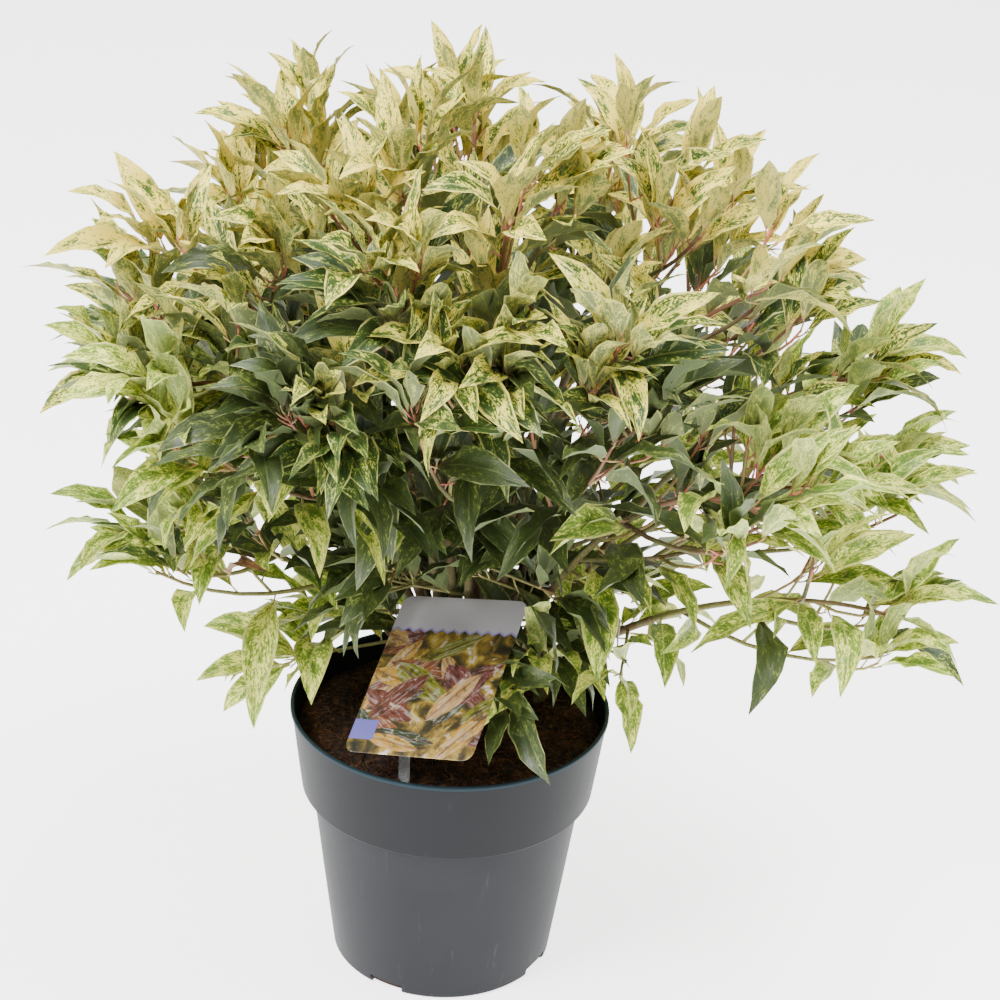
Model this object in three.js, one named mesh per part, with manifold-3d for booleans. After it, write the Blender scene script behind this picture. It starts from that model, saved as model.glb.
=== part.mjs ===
import * as THREE from "three";
import { mergeVertices } from "three/addons/utils/BufferGeometryUtils.js";
import Module from "manifold-3d";

// A potted rainbow leucothoe: a clump of arching canes in a round nursery pot, each cane
// ending in its own mass of foliage, with a plant tag on a stake. Millimetres, +Z up.
// The origin is the centre of the pot's flat underside, +X is to the right, +Y to the back.

const wasm = await Module();
wasm.setup();

// Solids that touch in the real plant keep this gap.
const GAP = 0.3;
const UP = new THREE.Vector3(0, 0, 1);
const GOLDEN_ANGLE = Math.PI * (3 - Math.sqrt(5));

// The pot: a slightly conical body, a step out to a collar, and a thin rim.
const POT = {
  baseRadius: 73.5,
  baseChamfer: 2,
  baseThickness: 2.4,
  waistHeight: 122.5,
  waistRadius: 89.2,
  collarHeight: 126,
  collarRadius: 96.5,
  rimHeight: 184,
  rimRadius: 103.8,
  lipHeight: 3,
  lipDepth: 0.7,
  wall: 1.9,
  facets: 44,
};
const DRAIN = { count: 4, firstAzimuth: 62, width: 24, height: 7, inner: 62, outer: 80 };
const SOIL_TOP = 166;

// The plant tag: a card that leans back over the soil on a bent flat stake.
const TAG = {
  width: 90,
  height: 120,
  thickness: 1,
  corner: 7,
  centre: new THREE.Vector3(-8, -53, 234),
  normal: new THREE.Vector3(-0.38, -0.37, 0.85),
  top: new THREE.Vector3(0.27, 0.84, 0.48),
};
const STAKE = { width: 9, thickness: 1.4, footX: -26, footY: -73, slope: 58 };

// The tag stays in view from the front: foliage keeps off the line from it to the viewer.
const SIGHT = new THREE.Vector3(0.02, -0.86, 0.5).normalize();
const SIGHT_MARGIN = 5;
const TAG_CLEARANCE = 7;

// The canes' tips lie on a rounded box round the crown's centre, set by the golden angle
// from its top down to its lowest angle, which is higher in front and shows the tag.
const CROWN = {
  canes: 23,
  centre: new THREE.Vector3(0, 6, 350),
  left: 208,
  right: 226,
  back: 196,
  front: 180,
  top: 212,
  bottom: 165,
  lowest: 122,
  frontLowest: 60,
  squareness: 3,
  jitter: 14,
  bare: 0.36,
  shoots: 3,
};
// A few longer canes stretch out to the right, one above another.
const ARMS = {
  canes: 3,
  foot: 49,
  reach: 274,
  azimuths: [-14, 16],
  tops: [300, 396],
  rise: 1.02,
  bare: 0.42,
  shoots: 3,
};
const CLUMP = {
  x: 10,
  y: 50,
  spacing: 6.6,
  firstAzimuth: 92,
  riseInner: 0.8,
  riseOuter: 1.1,
  tagTests: 24,
};
const CANE = { footRadius: 3.7, tipRadius: 2.5, flare: 1.45, sides: 5, steps: 3 };
const STEM = { footRadius: 2.5, tipRadius: 1.7, sides: 3, steps: 4 };
const SHOOT = {
  shortest: 66,
  lowest: 0.14,
  highest: 0.66,
  footRadius: 2.2,
  tipRadius: 1.6,
  sides: 3,
  steps: 2,
  open: 60,
  lift: 0.42,
};

// One leaf is a folded, drooping blade on eight faces.
const LEAF = {
  length: 84,
  lengthJitter: 0.2,
  youngest: 0.85,
  width: 0.42,
  widest: 0.42,
  thickness: 2.2,
  fold: 0.13,
  droop: 0.24,
  sunk: 0.3,
  spacing: 18.4,
  firstAt: 8,
  crowding: 0.9,
  openFoot: 68,
  openTip: 38,
  sag: 0.2,
};
// How often a shoot or leaf that doesn't fit is turned before it is skipped.
const TRIES = 9;
const TRY_TURN = 0.9;
const TRY_CLOSE = 0.95;
const SPACE_MARGIN = 1.6;
const LIMB_MARGIN = 1.2;
const POT_MARGIN = 2.5;
const SOIL_MARGIN = 2.5;

const MATERIALS = {
  pot: new THREE.MeshStandardMaterial({ color: 0x54595f, roughness: 0.55, metalness: 0 }),
  soil: new THREE.MeshStandardMaterial({ color: 0x2a1a12, roughness: 1, metalness: 0 }),
  tag: new THREE.MeshStandardMaterial({ color: 0x8a8790, roughness: 0.35, metalness: 0 }),
  stake: new THREE.MeshStandardMaterial({ color: 0xc9cdd0, roughness: 0.2, metalness: 0 }),
  cane: new THREE.MeshStandardMaterial({ color: 0x6e5a3a, roughness: 0.8, metalness: 0 }),
  foliage: new THREE.MeshStandardMaterial({ color: 0x8a9a4e, roughness: 0.6, metalness: 0 }),
};

function radians(degrees) {
  return (degrees * Math.PI) / 180;
}

function mix(a, b, share) {
  return a + (b - a) * share;
}

// A seeded generator of numbers from 0 to 1, the same on every run.
function seededRandom(seed) {
  let state = seed >>> 0;
  return () => {
    state = (state + 0x6d2b79f5) >>> 0;
    let word = Math.imul(state ^ (state >>> 15), state | 1);
    word ^= word + Math.imul(word ^ (word >>> 7), word | 61);
    return ((word ^ (word >>> 14)) >>> 0) / 4294967296;
  };
}

function solidFrom(geometry) {
  const bare = geometry.clone();
  bare.deleteAttribute("normal");
  bare.deleteAttribute("uv");
  const merged = mergeVertices(bare, 1e-4);
  const mesh = new wasm.Mesh({
    numProp: 3,
    vertProperties: merged.attributes.position.array,
    triVerts: new Uint32Array(merged.index.array),
  });
  return new wasm.Manifold(mesh);
}

function geometryFrom(solid) {
  const mesh = solid.getMesh();
  const geometry = new THREE.BufferGeometry();
  geometry.setAttribute("position", new THREE.BufferAttribute(mesh.vertProperties, 3));
  geometry.setIndex(new THREE.BufferAttribute(mesh.triVerts, 1));
  geometry.computeVertexNormals();
  return geometry;
}

// The largest outer shell of a fused solid: sealed hollows are filled, scraps are dropped.
function outerShell(solid) {
  return solid.decompose().reduce((best, body) => (body.volume() > best.volume() ? body : best));
}

function named(name, geometry, material) {
  const mesh = new THREE.Mesh(geometry, material);
  mesh.name = name;
  return mesh;
}

// Turns a closed outline of [radius, height] pairs about the Z axis.
function turned(profile, facets) {
  const points = profile.map(([radius, height]) => new THREE.Vector2(radius, height));
  return new THREE.LatheGeometry(points, facets).rotateX(Math.PI / 2);
}

function potOuterRadius(height) {
  if (height < POT.waistHeight) {
    return mix(POT.baseRadius, POT.waistRadius, height / POT.waistHeight);
  }
  const share = (height - POT.collarHeight) / (POT.rimHeight - POT.collarHeight);
  return mix(POT.collarRadius, POT.rimRadius, Math.max(0, share));
}

function potInnerRadius(height) {
  return potOuterRadius(height) - POT.wall;
}

function drainCutter(index) {
  const length = DRAIN.outer - DRAIN.inner;
  const cutter = new THREE.BoxGeometry(length, DRAIN.width, 2 * DRAIN.height);
  cutter.translate(DRAIN.inner + length / 2, 0, 0);
  cutter.rotateZ(radians(DRAIN.firstAzimuth + (index * 360) / DRAIN.count));
  return solidFrom(cutter);
}

function makePot() {
  const innerStep = POT.collarHeight + POT.wall;
  const outer = [
    [0, 0],
    [POT.baseRadius - POT.baseChamfer, 0],
    [POT.baseRadius, POT.baseChamfer],
    [POT.waistRadius, POT.waistHeight],
    [POT.collarRadius, POT.collarHeight],
    [potOuterRadius(POT.rimHeight - POT.lipHeight), POT.rimHeight - POT.lipHeight],
    [POT.rimRadius + POT.lipDepth, POT.rimHeight - POT.lipHeight + POT.lipDepth],
    [POT.rimRadius + POT.lipDepth, POT.rimHeight],
  ];
  const inner = [
    [POT.rimRadius - POT.wall, POT.rimHeight],
    [potInnerRadius(innerStep), innerStep],
    [POT.waistRadius - POT.wall, POT.waistHeight + POT.wall],
    [potInnerRadius(POT.baseThickness), POT.baseThickness],
    [0, POT.baseThickness],
  ];
  let pot = solidFrom(turned([...outer, ...inner], POT.facets));
  for (let index = 0; index < DRAIN.count; index += 1) {
    pot = pot.subtract(drainCutter(index));
  }
  return named("pot", geometryFrom(pot), MATERIALS.pot);
}

function makeSoil() {
  const floor = POT.baseThickness + GAP;
  const step = POT.collarHeight + POT.wall + GAP;
  const profile = [
    [0, floor],
    [potInnerRadius(floor) - 2 * GAP, floor],
    [POT.waistRadius - POT.wall - 2 * GAP, POT.waistHeight + POT.wall + GAP],
    [potInnerRadius(step) - 2 * GAP, step + GAP],
    [potInnerRadius(SOIL_TOP) - 2 * GAP, SOIL_TOP],
    [0, SOIL_TOP],
  ];
  return named("soil", turned(profile, POT.facets), MATERIALS.soil);
}

// The tag's own directions: u across it, v towards its top edge, w out of its face.
function tagAxes() {
  const w = TAG.normal.clone().normalize();
  const v = TAG.top.clone().addScaledVector(w, -TAG.top.dot(w)).normalize();
  return { u: v.clone().cross(w), v, w };
}

const TAG_AXES = tagAxes();

function makeTag() {
  const halfWidth = TAG.width / 2;
  const halfHeight = TAG.height / 2;
  const corner = TAG.corner;
  const outline = new THREE.Shape();
  outline.absarc(halfWidth - corner, halfHeight - corner, corner, 0, Math.PI / 2);
  outline.absarc(corner - halfWidth, halfHeight - corner, corner, Math.PI / 2, Math.PI);
  outline.absarc(corner - halfWidth, corner - halfHeight, corner, Math.PI, 1.5 * Math.PI);
  outline.absarc(halfWidth - corner, corner - halfHeight, corner, 1.5 * Math.PI, 2 * Math.PI);
  const options = { depth: TAG.thickness, bevelEnabled: false, curveSegments: 4 };
  const card = new THREE.ExtrudeGeometry(outline, options).translate(0, 0, -TAG.thickness / 2);
  const tag = named("label_card", card, MATERIALS.tag);
  const axes = new THREE.Matrix4().makeBasis(TAG_AXES.u, TAG_AXES.v, TAG_AXES.w);
  tag.quaternion.setFromRotationMatrix(axes);
  tag.position.copy(TAG.centre);
  return tag;
}

// A flat strip that stands on the soil and bends to run up along the back of the tag.
function makeStake() {
  const w = TAG_AXES.w;
  const ahead = new THREE.Vector3(-w.x, -w.y, 0).normalize();
  const across = ahead.clone().cross(UP);
  const slant = Math.acos(w.z);
  const foot = new THREE.Vector3(STAKE.footX, STAKE.footY, SOIL_TOP + GAP);
  const toCentre = TAG.centre.clone().sub(foot);
  const clear = TAG.thickness / 2 + GAP + STAKE.thickness;
  const bend = toCentre.dot(w) / w.z - clear / Math.cos(slant);
  const run = STAKE.slope * Math.cos(slant);
  const climb = STAKE.slope * Math.sin(slant);
  const lift = STAKE.thickness / Math.cos(slant);
  const half = STAKE.thickness / 2;
  const rearBend = bend + half * Math.tan(slant);
  const frontBend = rearBend + lift - STAKE.thickness * Math.tan(slant);
  const outline = new THREE.Shape([
    new THREE.Vector2(-half, 0),
    new THREE.Vector2(half, 0),
    new THREE.Vector2(half, rearBend),
    new THREE.Vector2(half + run, rearBend + climb),
    new THREE.Vector2(half + run, rearBend + climb + lift),
    new THREE.Vector2(-half, frontBend),
  ]);
  const options = { depth: STAKE.width, bevelEnabled: false };
  const strip = new THREE.ExtrudeGeometry(outline, options).translate(0, 0, -STAKE.width / 2);
  const stake = named("label_stake", strip, MATERIALS.stake);
  stake.quaternion.setFromRotationMatrix(new THREE.Matrix4().makeBasis(ahead, UP, across));
  stake.position.copy(foot);
  return stake;
}

// The tip of a cane on the crown, before its leaves.
function crownTip(index, azimuth, random) {
  const frontness = Math.max(0, -Math.sin(azimuth));
  const lowest = radians(mix(CROWN.lowest, CROWN.frontLowest, frontness));
  const down = Math.acos(1 - ((index + 0.5) / CROWN.canes) * (1 - Math.cos(lowest)));
  const way = new THREE.Vector3(
    Math.sin(down) * Math.cos(azimuth),
    Math.sin(down) * Math.sin(azimuth),
    Math.cos(down),
  );
  const half = new THREE.Vector3(
    way.x > 0 ? CROWN.right : CROWN.left,
    way.y > 0 ? CROWN.back : CROWN.front,
    way.z > 0 ? CROWN.top : CROWN.bottom,
  );
  const sum = way
    .clone()
    .divide(half)
    .toArray()
    .reduce((total, part) => total + Math.abs(part) ** CROWN.squareness, 0);
  const jitter = new THREE.Vector3(random() - 0.5, random() - 0.5, random() - 0.5);
  return CROWN.centre
    .clone()
    .addScaledVector(way, sum ** (-1 / CROWN.squareness))
    .addScaledVector(jitter, CROWN.jitter);
}

// A cane rises steeply from its foot and then arches out to its tip. A steeper one stays
// over its foot for longer.
function caneCurve(footRadius, azimuth, tip, rise, steepness) {
  const foot = new THREE.Vector3(
    CLUMP.x + footRadius * Math.cos(azimuth),
    CLUMP.y + footRadius * Math.sin(azimuth),
    SOIL_TOP + GAP,
  );
  const out = new THREE.Vector3(tip.x - foot.x, tip.y - foot.y, 0);
  const height = tip.z - foot.z;
  const low = foot
    .clone()
    .addScaledVector(out, mix(0.1, -0.02, steepness))
    .addScaledVector(UP, height * mix(0.5, 0.75, steepness));
  const high = foot
    .clone()
    .addScaledVector(out, mix(0.62, 0.42, steepness))
    .addScaledVector(UP, height * (rise + 0.2 * steepness));
  return new THREE.CubicBezierCurve3(foot, low, high, tip);
}

// Whether a point lies in the tag or within its clearance.
function meetsTag(point) {
  const offset = point.clone().sub(TAG.centre);
  const sides = [
    [TAG_AXES.u, TAG.width / 2],
    [TAG_AXES.v, TAG.height / 2],
    [TAG_AXES.w, TAG.thickness / 2],
  ];
  return sides.every(([axis, half]) => Math.abs(offset.dot(axis)) < half + TAG_CLEARANCE);
}

// A cane is made steeper until it passes behind the tag or over it.
function caneClearOfTag(footRadius, azimuth, tip, rise) {
  const curves = [0, 0.25, 0.5, 0.75, 1].map((steepness) =>
    caneCurve(footRadius, azimuth, tip, rise, steepness),
  );
  const clear = (curve) => !curve.getPoints(CLUMP.tagTests).some(meetsTag);
  return curves.find(clear) ?? curves[curves.length - 1];
}

// Evenly spaced points of a curve between two shares of its length.
function pointsAlong(curve, from, to, steps) {
  return Array.from({ length: steps + 1 }, (_, i) => curve.getPointAt(mix(from, to, i / steps)));
}

function pathLength(path) {
  return path.slice(1).reduce((sum, point, i) => sum + point.distanceTo(path[i]), 0);
}

// The point and direction of a path at a distance along it.
function pathAt(path, distance) {
  let left = distance;
  for (let i = 1; i < path.length; i += 1) {
    const reach = path[i].distanceTo(path[i - 1]);
    if (left <= reach || i === path.length - 1) {
      const along = path[i].clone().sub(path[i - 1]).normalize();
      return { point: path[i - 1].clone().addScaledVector(along, Math.min(left, reach)), along };
    }
    left -= reach;
  }
  return null;
}

function distanceToPath(point, path) {
  const nearest = new THREE.Vector3();
  let best = Infinity;
  for (let i = 1; i < path.length; i += 1) {
    const line = new THREE.Line3(path[i - 1], path[i]);
    line.closestPointToPoint(point, true, nearest);
    best = Math.min(best, nearest.distanceTo(point));
  }
  return best;
}

// A many-sided taper bent along a path. Its sections are square to the path, or all of them
// parallel where one direction is given, which keeps its sides flat.
function taperAlong(path, radiusAt, sides, tangentAt) {
  const steps = path.length - 1;
  const geometry = new THREE.CylinderGeometry(1, 1, 1, sides, steps);
  const axes = path.map((_, i) => {
    const tangent = tangentAt(i);
    const e1 = new THREE.Vector3(1, 0, 0).addScaledVector(tangent, -tangent.x).normalize();
    return [e1, tangent.clone().cross(e1)];
  });
  const position = geometry.attributes.position;
  const vertex = new THREE.Vector3();
  for (let i = 0; i < position.count; i += 1) {
    vertex.fromBufferAttribute(position, i);
    const step = Math.round((vertex.y + 0.5) * steps);
    const [e1, e2] = axes[step];
    const radius = radiusAt(step / steps);
    const x = -vertex.x * radius;
    const y = vertex.z * radius;
    vertex.copy(path[step]).addScaledVector(e1, x).addScaledVector(e2, y);
    position.setXYZ(i, vertex.x, vertex.y, vertex.z);
  }
  return geometry;
}

// The direction of a path at one of its points, between its neighbours.
function tangentOf(path, i) {
  const before = path[Math.max(0, i - 1)];
  const after = path[Math.min(path.length - 1, i + 1)];
  return after.clone().sub(before).normalize();
}

function caneRadius(share) {
  const flare = 1 + (CANE.flare - 1) * Math.max(0, 1 - share * CANE.steps);
  return mix(CANE.footRadius, CANE.tipRadius, share) * flare;
}

// A cane with its bare bough and, past a gap, the stem of its foliage.
function layOutCane(number, curve, { bare, shoots }, random) {
  const gap = GAP / curve.getLength();
  return {
    label: String(number).padStart(2, "0"),
    random,
    shoots,
    bough: pointsAlong(curve, 0, bare, CANE.steps),
    stem: pointsAlong(curve, bare + gap, 1, STEM.steps),
  };
}

function layOutCanes() {
  const canes = [];
  for (let index = 0; index < CROWN.canes; index += 1) {
    const random = seededRandom(index + 1);
    const azimuth = radians(CLUMP.firstAzimuth) + index * GOLDEN_ANGLE;
    const tip = crownTip(index, azimuth, random);
    const rise = mix(CLUMP.riseInner, CLUMP.riseOuter, index / CROWN.canes);
    const footRadius = CLUMP.spacing * Math.sqrt(index + 0.5);
    const curve = caneClearOfTag(footRadius, azimuth, tip, rise);
    canes.push(layOutCane(index + 1, curve, CROWN, random));
  }
  for (let index = 0; index < ARMS.canes; index += 1) {
    const share = index / (ARMS.canes - 1);
    const azimuth = radians(mix(...ARMS.azimuths, share));
    const tip = new THREE.Vector3(
      ARMS.reach * Math.cos(azimuth),
      ARMS.reach * Math.sin(azimuth),
      mix(...ARMS.tops, share),
    );
    const curve = caneClearOfTag(ARMS.foot, azimuth, tip, ARMS.rise);
    const number = canes.length + 1;
    canes.push(layOutCane(number, curve, ARMS, seededRandom(number)));
  }
  return canes;
}

const CANES = layOutCanes();

// Where the line of sight through a point meets the tag's plane, and how far in front.
function tagSight(point) {
  const { u, v, w } = TAG_AXES;
  const offset = point.clone().sub(TAG.centre);
  const ahead = offset.dot(w) / SIGHT.dot(w);
  const landing = offset.addScaledVector(SIGHT, -ahead);
  return { ahead, across: Math.abs(landing.dot(u)), along: Math.abs(landing.dot(v)) };
}

function clearOfTag(point) {
  const { ahead, across, along } = tagSight(point);
  const overTag =
    across < TAG.width / 2 + SIGHT_MARGIN && along < TAG.height / 2 + SIGHT_MARGIN;
  const stakeOffset = Math.hypot(point.x - STAKE.footX, point.y - STAKE.footY);
  return !(overTag && ahead > -TAG_CLEARANCE) && stakeOffset > TAG_CLEARANCE;
}

function clearOfPot(point) {
  if (point.z > POT.rimHeight + POT_MARGIN) {
    return true;
  }
  const radius = Math.hypot(point.x, point.y);
  if (point.z > SOIL_TOP + SOIL_MARGIN && radius < potInnerRadius(point.z) - POT_MARGIN) {
    return true;
  }
  return radius > POT.rimRadius + POT_MARGIN;
}

function clearOfBoughs(point) {
  const near = CANE.footRadius + LIMB_MARGIN;
  return CANES.every((cane) => distanceToPath(point, cane.bough) > near);
}

// The space of a mass: every point that lies nearer its own stem than any other stem.
function inOwnSpace(point, cane) {
  const own = distanceToPath(point, cane.stem) + SPACE_MARGIN;
  return CANES.every((other) => other === cane || distanceToPath(point, other.stem) > own);
}

function fits(points, cane) {
  return points.every(
    (point) =>
      clearOfPot(point) && clearOfTag(point) && clearOfBoughs(point) && inOwnSpace(point, cane),
  );
}

// A direction opened away from another by an angle, turned about it.
function openedFrom(along, open, turn) {
  const level = along.clone().cross(UP);
  const e1 = level.lengthSq() > 1e-6 ? level.normalize() : new THREE.Vector3(1, 0, 0);
  const e2 = e1.clone().cross(along);
  const side = e1.multiplyScalar(Math.cos(turn)).addScaledVector(e2, Math.sin(turn));
  return along.clone().multiplyScalar(Math.cos(open)).addScaledVector(side, Math.sin(open));
}

// A side shoot leaves the stem at an angle and curves up as it grows.
function shootPath(start, along, turn, length) {
  const heading = openedFrom(along, radians(SHOOT.open), turn);
  const path = [start.clone()];
  for (let i = 1; i <= SHOOT.steps; i += 1) {
    heading.addScaledVector(UP, SHOOT.lift).normalize();
    const last = path[path.length - 1];
    path.push(last.clone().addScaledVector(heading, length / SHOOT.steps));
  }
  return path;
}

// Side shoots leave the stem at the golden angle and end about level with its tip.
function growShoots(cane) {
  const { random, stem } = cane;
  const whole = pathLength(stem);
  const shoots = [];
  const firstTurn = random() * 2 * Math.PI;
  for (let index = 0; index < cane.shoots; index += 1) {
    const share = mix(SHOOT.lowest, SHOOT.highest, index / (cane.shoots - 1));
    const { point, along } = pathAt(stem, whole * share);
    const length = Math.max(SHOOT.shortest, whole * (1 - share)) * mix(0.85, 1, random());
    let turn = firstTurn + index * GOLDEN_ANGLE;
    for (let attempt = 0; attempt < TRIES; attempt += 1) {
      const path = shootPath(point, along, turn, length);
      if (fits(path.slice(1), cane)) {
        shoots.push(path);
        break;
      }
      turn += TRY_TURN;
    }
  }
  return shoots;
}

// Where a leaf's root, tip, edges and ridge lie. The blade opens from the twig's direction,
// sags under its weight, turns its face up, folds along its midrib and droops at its tip.
function leafShape(point, along, turn, open, length) {
  const axis = openedFrom(along, open, turn);
  axis.z -= LEAF.sag * Math.sin(open);
  axis.normalize();
  const face = along.clone().multiplyScalar(0.4).addScaledVector(UP, 0.75);
  face.addScaledVector(axis, -face.dot(axis)).normalize();
  const across = face.clone().cross(axis);
  const width = length * LEAF.width;
  const middle = point.clone().addScaledVector(axis, length * LEAF.widest);
  const edge = middle.clone().addScaledVector(face, width * LEAF.fold);
  return {
    axis,
    face,
    middle,
    root: point.clone().addScaledVector(axis, -LEAF.sunk),
    tip: point.clone().addScaledVector(axis, length).addScaledVector(face, -length * LEAF.droop),
    left: edge.clone().addScaledVector(across, width / 2),
    right: edge.clone().addScaledVector(across, -width / 2),
  };
}

// Points spread over a blade, clear of its root, that all have to fit.
function leafSamples(shape) {
  const samples = [shape.tip, shape.left, shape.right, shape.middle];
  for (const share of [0.25, 0.5, 0.75]) {
    samples.push(shape.middle.clone().lerp(shape.tip, share));
    samples.push(shape.left.clone().lerp(shape.tip, share));
    samples.push(shape.right.clone().lerp(shape.tip, share));
  }
  for (const share of [0.35, 0.7]) {
    samples.push(shape.root.clone().lerp(shape.left, share));
    samples.push(shape.root.clone().lerp(shape.right, share));
  }
  return samples;
}

// An octahedron's six corners become the root, tip, two edges and the two sides of the ridge.
function leafSolid(shape) {
  const geometry = new THREE.OctahedronGeometry(1);
  const position = geometry.attributes.position;
  for (let i = 0; i < position.count; i += 1) {
    let corner = shape.middle.clone();
    corner.addScaledVector(shape.face, (position.getZ(i) * LEAF.thickness) / 2);
    if (Math.abs(position.getX(i)) > 0.5) {
      corner = position.getX(i) > 0 ? shape.tip : shape.root;
    } else if (Math.abs(position.getY(i)) > 0.5) {
      corner = position.getY(i) > 0 ? shape.left : shape.right;
    }
    position.setXYZ(i, corner.x, corner.y, corner.z);
  }
  return solidFrom(geometry);
}

function crossesAny(solid, others) {
  return others.some((other) => !solid.intersect(other).isEmpty());
}

// Leaves stand round a twig at the golden angle, wide open at its foot and more upright at
// its tip, and closer together there. A leaf that isn't clear is turned and drawn in towards
// the twig, and skipped after some tries.
function growLeaves(path, cane, grown, twigs) {
  const { random } = cane;
  const whole = pathLength(path);
  const count = Math.floor((whole - LEAF.firstAt) / LEAF.spacing) + 1;
  const firstTurn = random() * 2 * Math.PI;
  for (let index = 0; index < count; index += 1) {
    const share = index / Math.max(1, count - 1);
    const { point, along } = pathAt(path, mix(LEAF.firstAt, whole - 1, share ** LEAF.crowding));
    const wide = radians(mix(LEAF.openFoot, LEAF.openTip, share * share));
    const young = mix(1, LEAF.youngest, share * share);
    const length = LEAF.length * young * (1 + LEAF.lengthJitter * (random() - 0.5));
    for (let attempt = 0; attempt < TRIES; attempt += 1) {
      const turn = firstTurn + index * GOLDEN_ANGLE + attempt * TRY_TURN;
      const drawnIn = TRY_CLOSE ** attempt;
      const shape = leafShape(point, along, turn, wide * drawnIn, length * drawnIn);
      const leaf = fits(leafSamples(shape), cane) ? leafSolid(shape) : null;
      if (leaf && !crossesAny(leaf, grown) && !crossesAny(leaf, twigs)) {
        grown.push(leaf);
        break;
      }
    }
  }
}

function twigSolid(path, size) {
  const radiusAt = (share) => mix(size.footRadius, size.tipRadius, share);
  const square = tangentOf(path, 0);
  return solidFrom(taperAlong(path, radiusAt, size.sides, () => square));
}

function makeBough(cane) {
  const tangentAt = (i) => (i === 0 ? UP : tangentOf(cane.bough, i));
  const geometry = taperAlong(cane.bough, caneRadius, CANE.sides, tangentAt);
  return named(`cane_${cane.label}`, geometry, MATERIALS.cane);
}

function makeFoliage(cane) {
  const shoots = growShoots(cane);
  const paths = [cane.stem, ...shoots];
  const twigs = paths.map((path, i) => twigSolid(path, i === 0 ? STEM : SHOOT));
  const leaves = [];
  paths.forEach((path, i) => {
    const others = twigs.filter((_, j) => j !== i);
    growLeaves(path, cane, leaves, others);
  });
  const fused = [...twigs, ...leaves].reduce((whole, piece) => whole.add(piece));
  return named(`foliage_${cane.label}`, geometryFrom(outerShell(fused)), MATERIALS.foliage);
}

const plant = new THREE.Group();
plant.name = "plant";
for (const cane of CANES) {
  plant.add(makeBough(cane), makeFoliage(cane));
}

const container = new THREE.Group();
container.name = "container";
container.add(makePot(), makeSoil());

const label = new THREE.Group();
label.name = "label";
label.add(makeTag(), makeStake());

const group = new THREE.Group();
group.name = "potted_leucothoe";
group.add(container, plant, label);

export default group;
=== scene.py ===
"""Dresses a potted rainbow leucothoe round its fixed frame.

The canes, stems and side shoots grow by the same seeded rule as the frame's solids, and the rule
is carried on to finer twigs, leaf stalks and leaves. The pot, its soil and the plant tag are made
finer at the frame's own sizes. Metres, +Z up; angles are handed on in radians;
the origin is the centre of the pot's underside.
"""

import logging
import math
from collections.abc import Iterable, Sequence
from dataclasses import dataclass, field
from enum import Enum

import bmesh
import bpy
import numpy as np
from mathutils import Matrix, Vector, noise


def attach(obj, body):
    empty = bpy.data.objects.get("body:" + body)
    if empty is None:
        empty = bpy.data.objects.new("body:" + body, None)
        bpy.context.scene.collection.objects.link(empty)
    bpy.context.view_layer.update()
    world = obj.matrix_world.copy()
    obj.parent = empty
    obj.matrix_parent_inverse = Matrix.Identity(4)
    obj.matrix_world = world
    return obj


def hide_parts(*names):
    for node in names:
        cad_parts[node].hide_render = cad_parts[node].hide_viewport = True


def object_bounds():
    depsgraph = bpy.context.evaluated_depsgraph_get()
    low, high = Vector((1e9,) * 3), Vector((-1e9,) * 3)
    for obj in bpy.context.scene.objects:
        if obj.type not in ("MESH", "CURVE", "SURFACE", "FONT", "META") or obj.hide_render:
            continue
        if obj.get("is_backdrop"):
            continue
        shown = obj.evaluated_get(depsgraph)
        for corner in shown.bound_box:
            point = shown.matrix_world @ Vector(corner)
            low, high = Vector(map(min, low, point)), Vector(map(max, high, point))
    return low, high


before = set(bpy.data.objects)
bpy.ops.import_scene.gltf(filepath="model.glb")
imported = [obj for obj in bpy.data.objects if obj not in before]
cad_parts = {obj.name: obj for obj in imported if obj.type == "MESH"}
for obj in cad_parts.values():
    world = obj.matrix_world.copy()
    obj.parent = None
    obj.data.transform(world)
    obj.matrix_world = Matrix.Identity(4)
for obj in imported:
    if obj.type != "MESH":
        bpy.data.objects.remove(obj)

CAD_LOW, CAD_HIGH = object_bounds()
LOG = logging.getLogger("leucothoe")

Array = np.ndarray
Pair = tuple[float, float]
Triple = tuple[float, float, float]
Colour = Triple
Material = bpy.types.Material
Socket = bpy.types.NodeSocket
UP = np.array([0.0, 0.0, 1.0])
FULL_TURN = 2 * math.pi
GOLDEN_ANGLE = math.pi * (3 - math.sqrt(5))
WORD = 0xFFFFFFFF
WHITE = (1.0, 1.0, 1.0, 1.0)


class Slot(Enum):
    """The record's material slots; no piece here is given one."""

    POT = "pot"
    SOIL = "soil"
    CARD = "label_card"
    CANE = "cane"
    FOLIAGE = "foliage"


class LeafKind(Enum):
    """How much of a leaf is cream, from the palest young ones to the dark inner ones."""

    CREAM = "cream"
    FLECKED = "flecked"
    MARBLED = "marbled"
    DEEP = "deep"
    # Partly the leaves' own lime green, partly painted light: paler as if lit through from behind.
    BACKLIT_LIME = "lime"
    DRY = "dry"


OLDER = {
    LeafKind.CREAM: LeafKind.FLECKED,
    LeafKind.FLECKED: LeafKind.MARBLED,
    LeafKind.MARBLED: LeafKind.DEEP,
}


def mix(a: float, b: float, share: float) -> float:
    """Returns the value at a share of the way from a to b."""
    return a + (b - a) * share


def unit(vector: Array) -> Array:
    """Returns the vector at length one."""
    return vector / np.linalg.norm(vector)


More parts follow.
